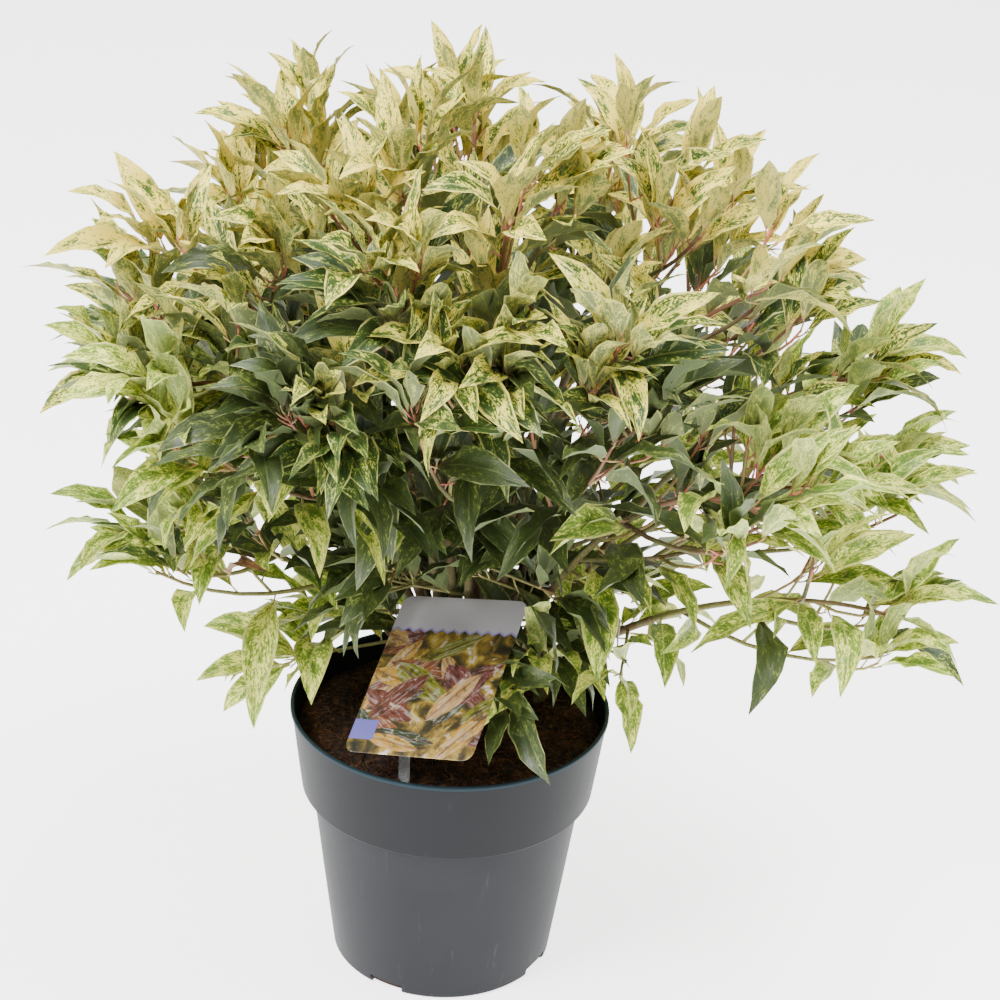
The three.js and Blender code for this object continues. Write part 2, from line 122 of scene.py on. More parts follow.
class SeededRandom:
    """A seeded stream of numbers from 0 to 1, the same as the frame's own."""

    def __init__(self, seed: int) -> None:
        """Starts the stream at a seed."""
        self.state = seed & WORD

    def __call__(self) -> float:
        """Moves the stream on.

        Returns:
            The next number.
        """
        self.state = (self.state + 0x6D2B79F5) & WORD
        word = ((self.state ^ (self.state >> 15)) * (self.state | 1)) & WORD
        word ^= (word + (word ^ (word >> 7)) * (word | 61)) & WORD
        return (word ^ (word >> 14)) / (WORD + 1)

    def between(self, low: float, high: float) -> float:
        """Returns the next number, spread between two values."""
        return mix(low, high, self())

    def turn(self) -> float:
        """Returns the next number as an angle anywhere round a full turn."""
        return self() * FULL_TURN


@dataclass(frozen=True)
class PotSizes:
    """The pot: a slightly conical body, a step out to a collar, and a thin rim."""

    base_radius: float = 0.0735
    base_chamfer: float = 0.002
    base_thickness: float = 0.0024
    waist_height: float = 0.1225
    waist_radius: float = 0.0892
    collar_height: float = 0.126
    collar_radius: float = 0.0965
    rim_height: float = 0.184
    rim_radius: float = 0.1038
    lip_height: float = 0.003
    lip_depth: float = 0.0007
    wall: float = 0.0019
    soil_top: float = 0.166
    gap: float = 0.0003

    def outer_radius(self, height: float) -> float:
        """Measures the outside.

        Args:
            height: A height above the underside.

        Returns:
            The outside radius there.
        """
        if height < self.waist_height:
            return mix(self.base_radius, self.waist_radius, height / self.waist_height)
        share = (height - self.collar_height) / (self.rim_height - self.collar_height)
        return mix(self.collar_radius, self.rim_radius, max(0.0, share))

    def inner_radius(self, height: float) -> float:
        """Returns the inside radius at a height."""
        return self.outer_radius(height) - self.wall


@dataclass(frozen=True)
class TagSizes:
    """The plant tag: a card that leans back over the soil, on a stake."""

    width: float = 0.09
    height: float = 0.12
    thickness: float = 0.001
    corner: float = 0.007
    centre: Triple = (-0.008, -0.053, 0.234)
    normal: Triple = (-0.38, -0.37, 0.85)
    top: Triple = (0.27, 0.84, 0.48)
    stake_x: float = -0.026
    stake_y: float = -0.073
    sight: Triple = (0.02, -0.86, 0.5)
    sight_margin: float = 0.005
    clearance: float = 0.007

    def axes(self) -> tuple[Array, Array, Array]:
        """Works out how the card lies.

        Returns:
            The directions across it, towards its top edge, and out of its face.
        """
        w = unit(np.array(self.normal))
        top = np.array(self.top)
        v = unit(top - w * top.dot(w))
        return np.cross(v, w), v, w


@dataclass(frozen=True)
class CrownSizes:
    """The rounded box that the canes' tips lie on."""

    canes: int = 23
    centre: Triple = (0.0, 0.006, 0.35)
    left: float = 0.208
    right: float = 0.226
    back: float = 0.196
    front: float = 0.18
    top: float = 0.212
    bottom: float = 0.165
    lowest: float = 122.0
    front_lowest: float = 60.0
    squareness: float = 3.0
    jitter: float = 0.014
    bare: float = 0.36
    shoots: int = 3

    def reach(self, way: Array) -> float:
        """Measures a direction against the rounded box.

        Args:
            way: A direction from the crown's centre, of any length.

        Returns:
            The sum of its parts as shares of the box's half sizes, each to the box's power.
        """
        half = np.array(
            [
                self.right if way[0] > 0 else self.left,
                self.back if way[1] > 0 else self.front,
                self.top if way[2] > 0 else self.bottom,
            ]
        )
        return float((np.abs(way / half) ** self.squareness).sum())

    def tip(self, index: int, azimuth: float, random: SeededRandom) -> Array:
        """Places the tip of a cane on the crown, before its leaves.

        Args:
            index: The cane's place in the spiral, from the crown's top down.
            azimuth: The way it leans.
            random: The cane's own stream.

        Returns:
            The tip.
        """
        frontness = max(0.0, -math.sin(azimuth))
        lowest = math.radians(mix(self.lowest, self.front_lowest, frontness))
        down = math.acos(1 - ((index + 0.5) / self.canes) * (1 - math.cos(lowest)))
        level = math.sin(down)
        way = np.array([level * math.cos(azimuth), level * math.sin(azimuth), math.cos(down)])
        jitter = np.array([random() - 0.5, random() - 0.5, random() - 0.5])
        out = self.reach(way) ** (-1 / self.squareness)
        return np.array(self.centre) + way * out + jitter * self.jitter

    def depth(self, point: Array) -> float:
        """Returns how far out in the crown a point lies, from 0 at its centre to about 1."""
        return self.reach(point - np.array(self.centre)) ** (1 / self.squareness)


@dataclass(frozen=True)
class ArmSizes:
    """The longer canes that stretch out to the right, one above another."""

    canes: int = 3
    foot: float = 0.049
    reach: float = 0.274
    azimuths: Pair = (-14.0, 16.0)
    tops: Pair = (0.3, 0.396)
    rise: float = 1.02
    bare: float = 0.42
    shoots: int = 3


@dataclass(frozen=True)
class ClumpSizes:
    """Where the canes stand and how steeply they rise."""

    x: float = 0.01
    y: float = 0.05
    spacing: float = 0.0066
    first_azimuth: float = 92.0
    rise_inner: float = 0.8
    rise_outer: float = 1.1
    low_out: Pair = (0.1, -0.02)
    low_up: Pair = (0.5, 0.75)
    high_out: Pair = (0.62, 0.42)
    high_up: float = 0.2
    steepness: tuple[float, ...] = (0, 0.25, 0.5, 0.75, 1)
    tag_tests: int = 24
    gap: float = 0.0003


@dataclass(frozen=True)
class ShootRule:
    """How one rank of side shoots leaves its parent."""

    shortest: float
    lowest: float
    highest: float
    open: float
    lift: float
    end: float = 1.0
    drawn: float = 0.85
    steps: int = 2
    margin: float = 0.0016


@dataclass(frozen=True)
class LeafRule:
    """How leaves stand along a twig."""

    spacing: float
    first_at: float
    length: float
    open_foot: float = 60.0
    open_tip: float = 28.0
    sag: float = 0.1
    rise: float = 0.55
    crowding: float = 0.9
    jitter: float = 0.24
    youngest: float = 0.78
    broad: float = 1.0


@dataclass(frozen=True)
class KindRule:
    """How the kinds of leaves are dealt out over the crown, by how pale each place is, partly by age and
    partly as painted light and shade.
    """

    by_height: float = 1.2
    # Partly age, partly painted shade: the front of the crown gets darker kinds, as older leaves and as the
    # crown's own shade.
    by_front_age_and_shade: float = 0.4
    by_depth: float = 0.5
    usual_depth: float = 0.95
    spread: float = 0.24
    cream: float = 0.64
    flecked: float = 0.4
    marbled: float = 0.22
    outer: float = 0.7
    # Painted light in part: sprays at the far sides and on the arms get the pale lime kind, which stands
    # for leaves lit through from behind.
    far: float = 0.16
    far_left: float = 0.045
    far_low: float = 0.06
    low: float = -0.5
    backlit_lime_share: float = 0.8


LEAF_OVERLAP = 0.02
LOW_OVERLAP = 0.06
SHOOT = ShootRule(shortest=0.066, lowest=0.14, highest=0.66, open=60.0, lift=0.42)
TWIG = ShootRule(
    shortest=0.034, lowest=0.12, highest=0.9, open=52.0, lift=0.6, end=1.1, drawn=0.7
)
LOW_TWIG = ShootRule(
    shortest=0.05, lowest=0.32, highest=1.0, open=78.0, lift=0.0, margin=-LOW_OVERLAP
)
TWIG_EVERY = 0.085
TWIG_LONGEST = 0.08
LOW_TWIG_EVERY = 0.045
SHOOT_TRIES = 9
LEAF_TRIES = 6
TRY_TURN = 0.9
TRY_CLOSE = 0.95
REACH_MARGIN = 0.004
CANE_RADII = (0.0037, 0.0025)
CANE_FLARE = 1.45
STEM_RADII = (0.0024, 0.0012)
SHOOT_RADII = (0.0017, 0.001)
TWIG_RADII = (0.0012, 0.0008)
LIMB_MARGIN = 0.0012
POT_MARGIN = 0.0025
SOIL_MARGIN = 0.0025
LEAF_SOIL_MARGIN = 0.022
LEAF_TWIST = 0.7
RUN_SHARE = 0.9
LEAF_SEED = 1000
FIBRE_SEED = 501
CHIP_SEED = 777
PRINT_SEED = 88


@dataclass
class Arch:
    """A cubic curve from a cane's foot to its tip, measured along its length."""

    corners: Array
    tests: int = 200
    shares: Array = field(init=False)
    lengths: Array = field(init=False)

    def __post_init__(self) -> None:
        """Measures the curve."""
        self.shares = np.linspace(0, 1, self.tests + 1)
        reach = np.linalg.norm(np.diff(self.at(self.shares), axis=0), axis=1)
        self.lengths = np.concatenate([[0.0], np.cumsum(reach)])

    def at(self, share: Array) -> Array:
        """Follows the curve by its own parameter.

        Args:
            share: Shares of the parameter, from 0 to 1.

        Returns:
            The points there.
        """
        t = np.asarray(share)[:, None]
        foot, low, high, tip = self.corners
        start = (1 - t) ** 3 * foot + 3 * (1 - t) ** 2 * t * low
        return start + 3 * (1 - t) * t**2 * high + t**3 * tip

    def along(self, start: float, end: float, steps: int) -> Array:
        """Returns evenly spaced points between two shares of the curve's length."""
        wanted = np.linspace(start, end, steps + 1) * self.lengths[-1]
        return self.at(np.interp(wanted, self.lengths, self.shares))


@dataclass
class Cane:
    """One cane: a bare bough, and past a gap the stem of its foliage."""

    number: int
    arch: Arch
    bare: float
    shoots: int
    random: SeededRandom
    is_arm: bool
    stem_gap: float

    def bough(self, steps: int = 3) -> Array:
        """Returns points along the bare bough."""
        return self.arch.along(0.0, self.bare, steps)

    def stem(self, steps: int = 4) -> Array:
        """Returns points along the stem inside the foliage."""
        return self.arch.along(self.bare + self.stem_gap / self.arch.lengths[-1], 1.0, steps)


def path_length(path: Array) -> float:
    """Returns the length of a path."""
    return float(np.linalg.norm(np.diff(path, axis=0), axis=1).sum())


def path_at(path: Array, distance: float) -> tuple[Array, Array]:
    """Follows a path for a distance.

    Args:
        path: The path's points.
        distance: How far along it.

    Returns:
        The point there and the path's direction.
    """
    reach = np.linalg.norm(np.diff(path, axis=0), axis=1)
    ends = np.cumsum(reach)
    i = min(int(np.searchsorted(ends, distance)), len(reach) - 1)
    along = (path[i + 1] - path[i]) / reach[i]
    return path[i] + along * min(distance - (ends[i] - reach[i]), reach[i]), along


def rounded_path(path: Array, steps: int) -> Array:
    """Bends a path of three points smoothly.

    Args:
        path: The three points.
        steps: How many steps the bend has.

    Returns:
        The bend's points, from the first through the second to the third.
    """
    start, middle, end = path
    control = 2 * middle - (start + end) / 2
    t = np.linspace(0, 1, steps + 1)[:, None]
    return (1 - t) ** 2 * start + 2 * (1 - t) * t * control + t**2 * end


def opened_from(along: Array, angle: float, turn: float) -> Array:
    """Opens a direction away from another.

    Args:
        along: The direction to start from.
        angle: How far to open from it.
        turn: The way to open, as an angle round it from the level side.

    Returns:
        The new direction.
    """
    level = np.cross(along, UP)
    e1 = unit(level) if level.dot(level) > 1e-6 else np.array([1.0, 0.0, 0.0])
    e2 = np.cross(e1, along)
    side = e1 * math.cos(turn) + e2 * math.sin(turn)
    return along * math.cos(angle) + side * math.sin(angle)


def distances(points: Array, starts: Array, ends: Array) -> Array:
    """Measures points against line pieces.

    Args:
        points: The points.
        starts: Where the pieces start.
        ends: Where they end.

    Returns:
        The distance of each point from each piece, as a table.
    """
    run = ends - starts
    offset = points[:, None, :] - starts[None]
    share = np.einsum("mnk,nk->mn", offset, run) / np.einsum("nk,nk->n", run, run)
    nearest = starts[None] + np.clip(share, 0, 1)[..., None] * run[None]
    return np.linalg.norm(points[:, None, :] - nearest, axis=2)


@dataclass
class Clearances:
    """Says where shoots and leaves may grow."""

    canes: list[Cane]
    pot: PotSizes
    tag: TagSizes
    low: Array
    high: Array

    def __post_init__(self) -> None:
        """Lists every bough and stem as line pieces."""
        boughs = [cane.bough() for cane in self.canes]
        stems = [cane.stem() for cane in self.canes]
        self.bough_starts = np.concatenate([path[:-1] for path in boughs])
        self.bough_ends = np.concatenate([path[1:] for path in boughs])
        self.stem_starts = np.concatenate([path[:-1] for path in stems])
        self.stem_ends = np.concatenate([path[1:] for path in stems])
        self.pieces = len(stems[0]) - 1
        self.tag_axes = self.tag.axes()
        self.sight = unit(np.array(self.tag.sight))

    def off_tag(self, points: Array) -> Array:
        """Tests points against the tag, the stake and the view of the tag.

        Args:
            points: The points to test.

        Returns:
            True for each point that leaves them free.
        """
        u, v, w = self.tag_axes
        tag = self.tag
        offset = points - np.array(tag.centre)
        ahead = offset @ w / self.sight.dot(w)
        landing = offset - ahead[:, None] * self.sight
        across = np.abs(landing @ u) < tag.width / 2 + tag.sight_margin
        upward = np.abs(landing @ v) < tag.height / 2 + tag.sight_margin
        from_stake = np.hypot(points[:, 0] - tag.stake_x, points[:, 1] - tag.stake_y)
        return ~(across & upward & (ahead > -tag.clearance)) & (from_stake > tag.clearance)

    def off_pot(self, points: Array, above_soil: float) -> Array:
        """Tests points against the pot and its soil.

        Args:
            points: The points to test.
            above_soil: How far above the soil they have to stay inside the pot.

        Returns:
            True for each point that lies clear.
        """
        pot = self.pot
        z = points[:, 2]
        radius = np.hypot(points[:, 0], points[:, 1])
        inner = np.array([pot.inner_radius(height) for height in z])
        inside = (z > pot.soil_top + above_soil) & (radius < inner - POT_MARGIN)
        return (z > pot.rim_height + POT_MARGIN) | inside | (radius > pot.rim_radius + POT_MARGIN)

    def fits(self, points: Array, cane: Cane, margin: float, above_soil: float = SOIL_MARGIN) -> bool:
        """Says whether points lie clear of everything, in the space of one cane's foliage.

        Args:
            points: The points to test.
            cane: The cane whose foliage they belong to.
            margin: How much nearer its own stem than any other a point has to lie.
            above_soil: How far above the soil they have to stay.

        Returns:
            True where all points fit.
        """
        if ((points < self.low) | (points > self.high)).any():
            return False
        if not (self.off_pot(points, above_soil).all() and self.off_tag(points).all()):
            return False
        if distances(points, self.bough_starts, self.bough_ends).min() < CANE_RADII[0] + LIMB_MARGIN:
            return False
        table = distances(points, self.stem_starts, self.stem_ends)
        nearest = table.reshape(len(points), len(self.canes), self.pieces).min(axis=2)
        own = nearest[:, cane.number - 1].copy() + margin
        nearest[:, cane.number - 1] = np.inf
        return bool((own < nearest.min(axis=1)).all())


@dataclass
class Growth:
    """Lays out the canes by the seeded rule that the frame's solids follow."""

    pot: PotSizes = PotSizes()
    tag: TagSizes = TagSizes()
    crown: CrownSizes = CrownSizes()
    arms: ArmSizes = ArmSizes()
    clump: ClumpSizes = ClumpSizes()

    def arch(self, radius: float, azimuth: float, tip: Array, rise: float, steep: float) -> Arch:
        """Draws a cane that rises and then arches out to its tip.

        Args:
            radius: Its distance from the clump's centre.
            azimuth: The way it leans.
            tip: Its tip.
            rise: How far up it bends, as a share of its height.
            steep: How steeply it starts, from 0 to 1.

        Returns:
            The cane's curve.
        """
        clump = self.clump
        foot_x = clump.x + radius * math.cos(azimuth)
        foot_y = clump.y + radius * math.sin(azimuth)
        foot = np.array([foot_x, foot_y, self.pot.soil_top + clump.gap])
        out = np.array([tip[0] - foot[0], tip[1] - foot[1], 0.0])
        height = tip[2] - foot[2]
        low = foot + out * mix(*clump.low_out, steep) + UP * height * mix(*clump.low_up, steep)
        high = foot + out * mix(*clump.high_out, steep) + UP * height * (rise + clump.high_up * steep)
        return Arch(np.array([foot, low, high, tip]))

    def meets_tag(self, points: Array) -> bool:
        """Tests a cane against the tag.

        Args:
            points: Points along the cane.

        Returns:
            True where any lies in the tag or within its clearance.
        """
        tag = self.tag
        offset = points - np.array(tag.centre)
        halves = (tag.width / 2, tag.height / 2, tag.thickness / 2)
        near = [np.abs(offset @ axis) < half + tag.clearance for axis, half in zip(tag.axes(), halves)]
        return bool(np.logical_and.reduce(near).any())

    def clear_arch(self, radius: float, azimuth: float, tip: Array, rise: float) -> Arch:
        """Finds the least steep curve that passes behind the tag or over it.

        Args:
            radius: The cane's distance from the clump's centre.
            azimuth: The way it leans.
            tip: Its tip.
            rise: How far up it bends, as a share of its height.

        Returns:
            The curve, or the steepest one where none is clear.
        """
        arches = [self.arch(radius, azimuth, tip, rise, steep) for steep in self.clump.steepness]
        tests = np.linspace(0, 1, self.clump.tag_tests + 1)
        clear = [arch for arch in arches if not self.meets_tag(arch.at(tests))]
        return (clear or arches[-1:])[0]

    def canes(self) -> list[Cane]:
        """Lays out the clump.

        Returns:
            Every cane, the long ones to the right last.
        """
        crown, arms, clump = self.crown, self.arms, self.clump
        canes = []
        for index in range(crown.canes):
            random = SeededRandom(index + 1)
            azimuth = math.radians(clump.first_azimuth) + index * GOLDEN_ANGLE
            tip = crown.tip(index, azimuth, random)
            rise = mix(clump.rise_inner, clump.rise_outer, index / crown.canes)
            arch = self.clear_arch(clump.spacing * math.sqrt(index + 0.5), azimuth, tip, rise)
            canes.append(Cane(index + 1, arch, crown.bare, crown.shoots, random, False, clump.gap))
        for index in range(arms.canes):
            share = index / (arms.canes - 1)
            azimuth = math.radians(mix(*arms.azimuths, share))
            level = arms.reach * np.array([math.cos(azimuth), math.sin(azimuth)])
            tip = np.array([*level, mix(*arms.tops, share)])
            arch = self.clear_arch(arms.foot, azimuth, tip, arms.rise)
            number = len(canes) + 1
            random = SeededRandom(number)
            canes.append(Cane(number, arch, arms.bare, arms.shoots, random, True, clump.gap))
        return canes


@dataclass
class LeafForm:
    """One bent leaf blade of a few faces, closed, with its upper and under side."""

    seed: int
    lift: float
    recurve: float
    fold: float
    wave: float
    sweep: float
    twist: float
    foot: float = 0.92
    tip: float = 1.08
    bend: float = 1.35
    belly: float = 0.16
    waves: float = 2.6
    wave_step: float = 0.13
    wave_shift: float = 1.9
    breadth: float = 0.3
    rib_tests: tuple[float, ...] = (0.3, 0.5, 0.75, 1.0)
    stations: tuple[float, ...] = (0.0, 0.07, 0.19, 0.33, 0.47, 0.61, 0.75, 0.88, 1.0)
    columns: int = 4
    thickness: float = 0.006
    points: Array = field(init=False)
    along: Array = field(init=False)
    across: Array = field(init=False)
    faces: list[tuple[int, ...]] = field(init=False)
    sides: list[int] = field(init=False)

    def half_width(self, along: float) -> float:
        """Shapes the blade's outline.

        Args:
            along: A share of the blade's length.

        Returns:
            The half width there, one at the widest place.
        """
        widest = self.foot / (self.foot + self.tip)
        peak = widest**self.foot * (1 - widest) ** self.tip
        return along**self.foot * (1 - along) ** self.tip / peak

    def rib_point(self, along: float) -> Pair:
        """Bends the midrib in profile, more and more towards its tip.

        Args:
            along: A share of the blade's length.

        Returns:
            The midrib's place there, ahead and up.
        """
        steps = 24
        x = z = 0.0
        for i in range(int(round(along * steps))):
            angle = self.lift - self.recurve * ((i + 0.5) / steps) ** self.bend
            x += math.cos(angle) / steps
            z += math.sin(angle) / steps
        return x, z

    def shape(self, bm: bmesh.types.BMesh, verts: Iterable[bmesh.types.BMVert], sunk: float) -> None:
        """Bends a flat grid of vertices into the blade, and notes where on it each one lies.

        Args:
            bm: The blade's bmesh.
            verts: The grid's vertices, one unit square.
            sunk: How far the midrib lies under the upper side.
        """
        along_layer = bm.verts.layers.float["along"]
        across_layer = bm.verts.layers.float["across"]
        count = len(self.stations) - 1
        for vert in verts:
            along = self.stations[int(round((vert.co.x + 0.5) * count))]
            across = vert.co.y * 2
            x, z = self.rib_point(along)
            half = self.half_width(along)
            slope = self.fold + self.belly * (1 - (2 * abs(across) - 1) ** 2) * (sunk == 0)
            phase = FULL_TURN * (self.waves * along + self.wave_step * self.seed)
            phase += (across > 0) * self.wave_shift
            ripple = self.wave * math.sin(phase)
            turn = self.twist * along
            y = across * half * 0.5
            rise = abs(y) * slope + ripple * abs(across) * half - sunk * (1 - abs(across))
            cos, sin = math.cos(turn), math.sin(turn)
            y, rise = y * cos - rise * sin, y * sin + rise * cos
            vert[along_layer] = along
            vert[across_layer] = across
            vert.co = Vector((x, y + self.sweep * along**2, z + rise * self.breadth))

    def midrib(self) -> Array:
        """Returns some points along the blade's midrib, up to its tip."""
        spots = [(along, *self.rib_point(along)) for along in self.rib_tests]
        return np.array([(x, self.sweep * along**2, z) for along, x, z in spots])

    def build(self) -> "LeafForm":
        """Makes the blade's arrays from two grids that are welded along their outline.

        Returns:
            The form itself.
        """
        bm = bmesh.new()
        bm.verts.layers.float.new("along")
        bm.verts.layers.float.new("across")
        lengthwise = len(self.stations) - 1
        for columns, sunk in ((self.columns, 0.0), (self.columns // 2, self.thickness)):
            before = set(bm.verts)
            bmesh.ops.create_grid(bm, x_segments=lengthwise, y_segments=columns, size=0.5)
            grown = [vert for vert in bm.verts if vert not in before]
            self.shape(bm, grown, sunk)
            faces = list({face for vert in grown for face in vert.link_faces})
            for face in faces:
                face.material_index = int(sunk > 0)
            if sunk > 0:
                bmesh.ops.reverse_faces(bm, faces=faces)
        bmesh.ops.remove_doubles(bm, verts=bm.verts, dist=1e-5)
        bm.verts.ensure_lookup_table()
        along_layer = bm.verts.layers.float["along"]
        across_layer = bm.verts.layers.float["across"]
        self.points = np.array([vert.co for vert in bm.verts])
        self.along = np.array([vert[along_layer] for vert in bm.verts])
        self.across = np.array([vert[across_layer] for vert in bm.verts])
        self.faces = [tuple(vert.index for vert in face.verts) for face in bm.faces]
        self.sides = [face.material_index for face in bm.faces]
        bm.free()
        return self


def leaf_forms() -> list[LeafForm]:
    """Makes the leaf forms, from flatter to more bent ones, bending to either side.

    Returns:
        The forms, each with a lift, a recurve, a fold, a wave and a sweep of its own.
    """
    rows = [
        (0.3, 0.9, 0.38, 0.08, 0.12),
        (0.45, 1.25, 0.28, 0.11, -0.14),
        (0.2, 0.7, 0.35, 0.12, 0.16),
        (0.5, 1.5, 0.3, 0.08, 0.12),
        (0.1, 0.55, 0.4, 0.11, -0.12),
        (0.5, 1.1, 0.25, 0.14, 0.07),
        (0.4, 1.35, 0.28, 0.11, -0.14),
        (0.35, 0.95, 0.4, 0.09, -0.07),
    ]
    return [LeafForm(i, *row, twist=LEAF_TWIST * (-1) ** i).build() for i, row in enumerate(rows)]


@dataclass
class Spray:
    """One twig of a cane's foliage, with the rule for the leaves that stand on it."""

    cane: Cane
    path: Array
    radii: Pair
    leaves: LeafRule
    young: bool
    overlap: float = LEAF_OVERLAP


@dataclass
class Leaf:
    """One leaf: where it is rooted, which way it grows and faces, and its look."""

    stalk: Array
    root: Array
    axis: Array
    face: Array
    length: float
    width: float
    form: int
    kind: LeafKind
    cane: int


@dataclass(frozen=True)
class LeafWish:
    """What a leaf on a twig should be like before it is fitted in."""

    at: float
    turn: float
    open: float
    length: float
    kind: LeafKind


@dataclass
class Foliage:
    """Grows shoots, twigs and leaves on every stem."""

    canes: list[Cane]
    clearances: Clearances
    forms: list[LeafForm]
    crown: CrownSizes = CrownSizes()
    kinds: KindRule = KindRule()
    stem_leaves: LeafRule = LeafRule(
        spacing=0.0175, first_at=0.006, length=0.08, open_foot=74.0, open_tip=38.0, rise=0.35, broad=1.1
    )
    shoot_leaves: LeafRule = LeafRule(
        spacing=0.017, first_at=0.008, length=0.078, open_foot=74.0, open_tip=38.0, rise=0.35, broad=1.05
    )
    twig_leaves: LeafRule = LeafRule(spacing=0.0145, first_at=0.01, length=0.073)
    low_leaves: LeafRule = LeafRule(
        spacing=0.018, first_at=0.012, length=0.076, open_foot=80.0, open_tip=44.0, sag=0.06, rise=0.2,
        broad=1.15,
    )
    stem_steps: int = 14
    bough_steps: int = 10
    shoot_bend: int = 6
    twig_bend: int = 4
    tuft_count: int = 5
    tuft_reach: float = 0.015
    tuft_end: float = 0.001
    tuft_open: Pair = (46.0, 12.0)
    tuft_length: float = 0.066
    tuft_shortest: float = 0.8
    tuft_jitter: Pair = (0.88, 1.12)
    leaf_width: float = 0.245
    width_jitter: Pair = (0.85, 1.15)
    roll: float = 0.35
    aside: float = 0.3
    two_ranked: float = 0.3
    ranked_turn: float = 0.5
    stalk: float = 0.007
    stalk_end: float = 0.004
    face_along: float = 0.4
    face_up: float = 0.75
    older_until: float = 0.8
    young_older_until: float = 0.55
    oldest_until: float = 0.25
    open_right: float = 1.2
    right_from: float = 0.04
    right_over: float = 0.14
    open_low: float = 0.35
    low_from: float = 0.1
    low_over: float = 0.08
    dry_share: float = 0.006
    dry_length: float = 0.8
    sprays: list[Spray] = field(default_factory=list)
    leaves: list[Leaf] = field(default_factory=list)

    def shoot(self, start: Array, along: Array, turn: float, length: float, rule: ShootRule) -> Array:
        """Leads a shoot away from its parent, curving up as it grows.

        Args:
            start: Where it leaves.
            along: The parent's direction there.
            turn: Its angle round the parent.
            length: Its length.
            rule: The rule of its rank.

        Returns:
            Its path.
        """
        heading = opened_from(along, math.radians(rule.open), turn)
        path = [start]
        for _ in range(rule.steps):
            heading = unit(heading + UP * rule.lift)
            path.append(path[-1] + heading * length / rule.steps)
        return np.array(path)

    def fitted(
        self, cane: Cane, parent: Array, at: float, turn: float, length: float, rule: ShootRule
    ) -> list[Array]:
        """Tries a shoot, turned on step by step until it lies clear.

        Args:
            cane: The cane whose foliage it belongs to.
            parent: The path that it leaves.
            at: How far along that path it leaves.
            turn: Its first angle round the parent.
            length: Its length.
            rule: The rule of its rank.

        Returns:
            Its path as the only entry, or no entry where no try fits.
        """
        point, along = path_at(parent, at)
        for attempt in range(SHOOT_TRIES):
            path = self.shoot(point, along, turn + attempt * TRY_TURN, length, rule)
            if self.clearances.fits(path[1:], cane, rule.margin):
                return [path]
        return []

    def grow_shoots(self, cane: Cane) -> list[Array]:
        """Grows the same side shoots as the frame's solid of a cane has.

        Args:
            cane: The cane.

        Returns:
            The shoots' paths.
        """
        stem, random = cane.stem(), cane.random
        whole = path_length(stem)
        first_turn = random.turn()
        shoots = []
        for index in range(cane.shoots):
            share = mix(SHOOT.lowest, SHOOT.highest, index / (cane.shoots - 1))
            length = max(SHOOT.shortest, whole * (SHOOT.end - share)) * random.between(SHOOT.drawn, 1)
            turn = first_turn + index * GOLDEN_ANGLE
            shoots += self.fitted(cane, stem, whole * share, turn, length, SHOOT)
        return shoots

    def grow_twigs(self, cane: Cane, parent: Array, random: SeededRandom) -> list[Array]:
        """Grows the finer twigs along a stem or shoot, by the shoots' rule.

        Args:
            cane: The cane whose foliage they belong to.
            parent: The stem's or shoot's path.
            random: The foliage's own stream.

        Returns:
            The twigs' paths, bent smoothly.
        """
        whole = path_length(parent)
        count = int(whole * (TWIG.highest - TWIG.lowest) / TWIG_EVERY) + 1
        first_turn = random.turn()
        twigs = []
        for index in range(count):
            share = mix(TWIG.lowest, TWIG.highest, (index + 0.5) / count)
            longest = min(TWIG_LONGEST, max(TWIG.shortest, whole * (TWIG.end - share)))
            length = longest * random.between(TWIG.drawn, 1)
            turn = first_turn + index * GOLDEN_ANGLE
            twigs += self.fitted(cane, parent, whole * share, turn, length, TWIG)
        return [rounded_path(path, self.twig_bend) for path in twigs]

    def grow_low_twigs(self, cane: Cane, random: SeededRandom) -> list[Array]:
        """Grows twigs that spread from the upper part of a cane's bare bough.

        Args:
            cane: The cane.
            random: The foliage's own stream.

        Returns:
            The twigs' paths, bent smoothly.
        """
        parent = cane.bough(self.bough_steps)
        whole = path_length(parent)
        count = int(whole * (LOW_TWIG.highest - LOW_TWIG.lowest) / LOW_TWIG_EVERY) + 1
        twigs = []
        for index in range(count):
            share = mix(LOW_TWIG.lowest, LOW_TWIG.highest, (index + 0.5) / count)
            length = random.between(LOW_TWIG.shortest, TWIG_LONGEST)
            twigs += self.fitted(cane, parent, whole * share, random.turn(), length, LOW_TWIG)
        return [rounded_path(path, self.twig_bend) for path in twigs]

    def spray_kind(self, tip: Array, is_arm: bool, random: SeededRandom) -> LeafKind:
        """Deals a colour to a spray by its place in the crown.

        Args:
            tip: The spray's tip.
            is_arm: True on the long canes to the right.
            random: The foliage's own stream.

        Returns:
            The kind of the spray's young leaves.
        """
        rule = self.kinds
        depth = self.crown.depth(tip)
        height = (tip[2] - self.crown.centre[2]) / self.crown.top
        front = max(0.0, -tip[1] / self.crown.front)
        # Partly age, partly painted shade: sprays towards the front are dealt darker kinds.
        pale = rule.by_height * height - rule.by_front_age_and_shade * front
        pale += rule.by_depth * (min(depth, 1.0) - rule.usual_depth)
        pale += random.between(-rule.spread, rule.spread)
        reach = max(tip[0], rule.far_left - tip[0], tip[1])
        far = reach > rule.far - rule.far_low * (height < rule.low)
        if pale > rule.cream:
            return LeafKind.CREAM
        # Painted light in part: outer sprays at the far sides and on the arms take the pale lime kind, as
        # if lit through from behind.
        if (is_arm or far) and depth > rule.outer and pale < rule.flecked:
            return LeafKind.BACKLIT_LIME if random() < rule.backlit_lime_share else LeafKind.MARBLED
        if pale > rule.flecked:
            return LeafKind.FLECKED
        return LeafKind.MARBLED if pale > rule.marbled else LeafKind.DEEP

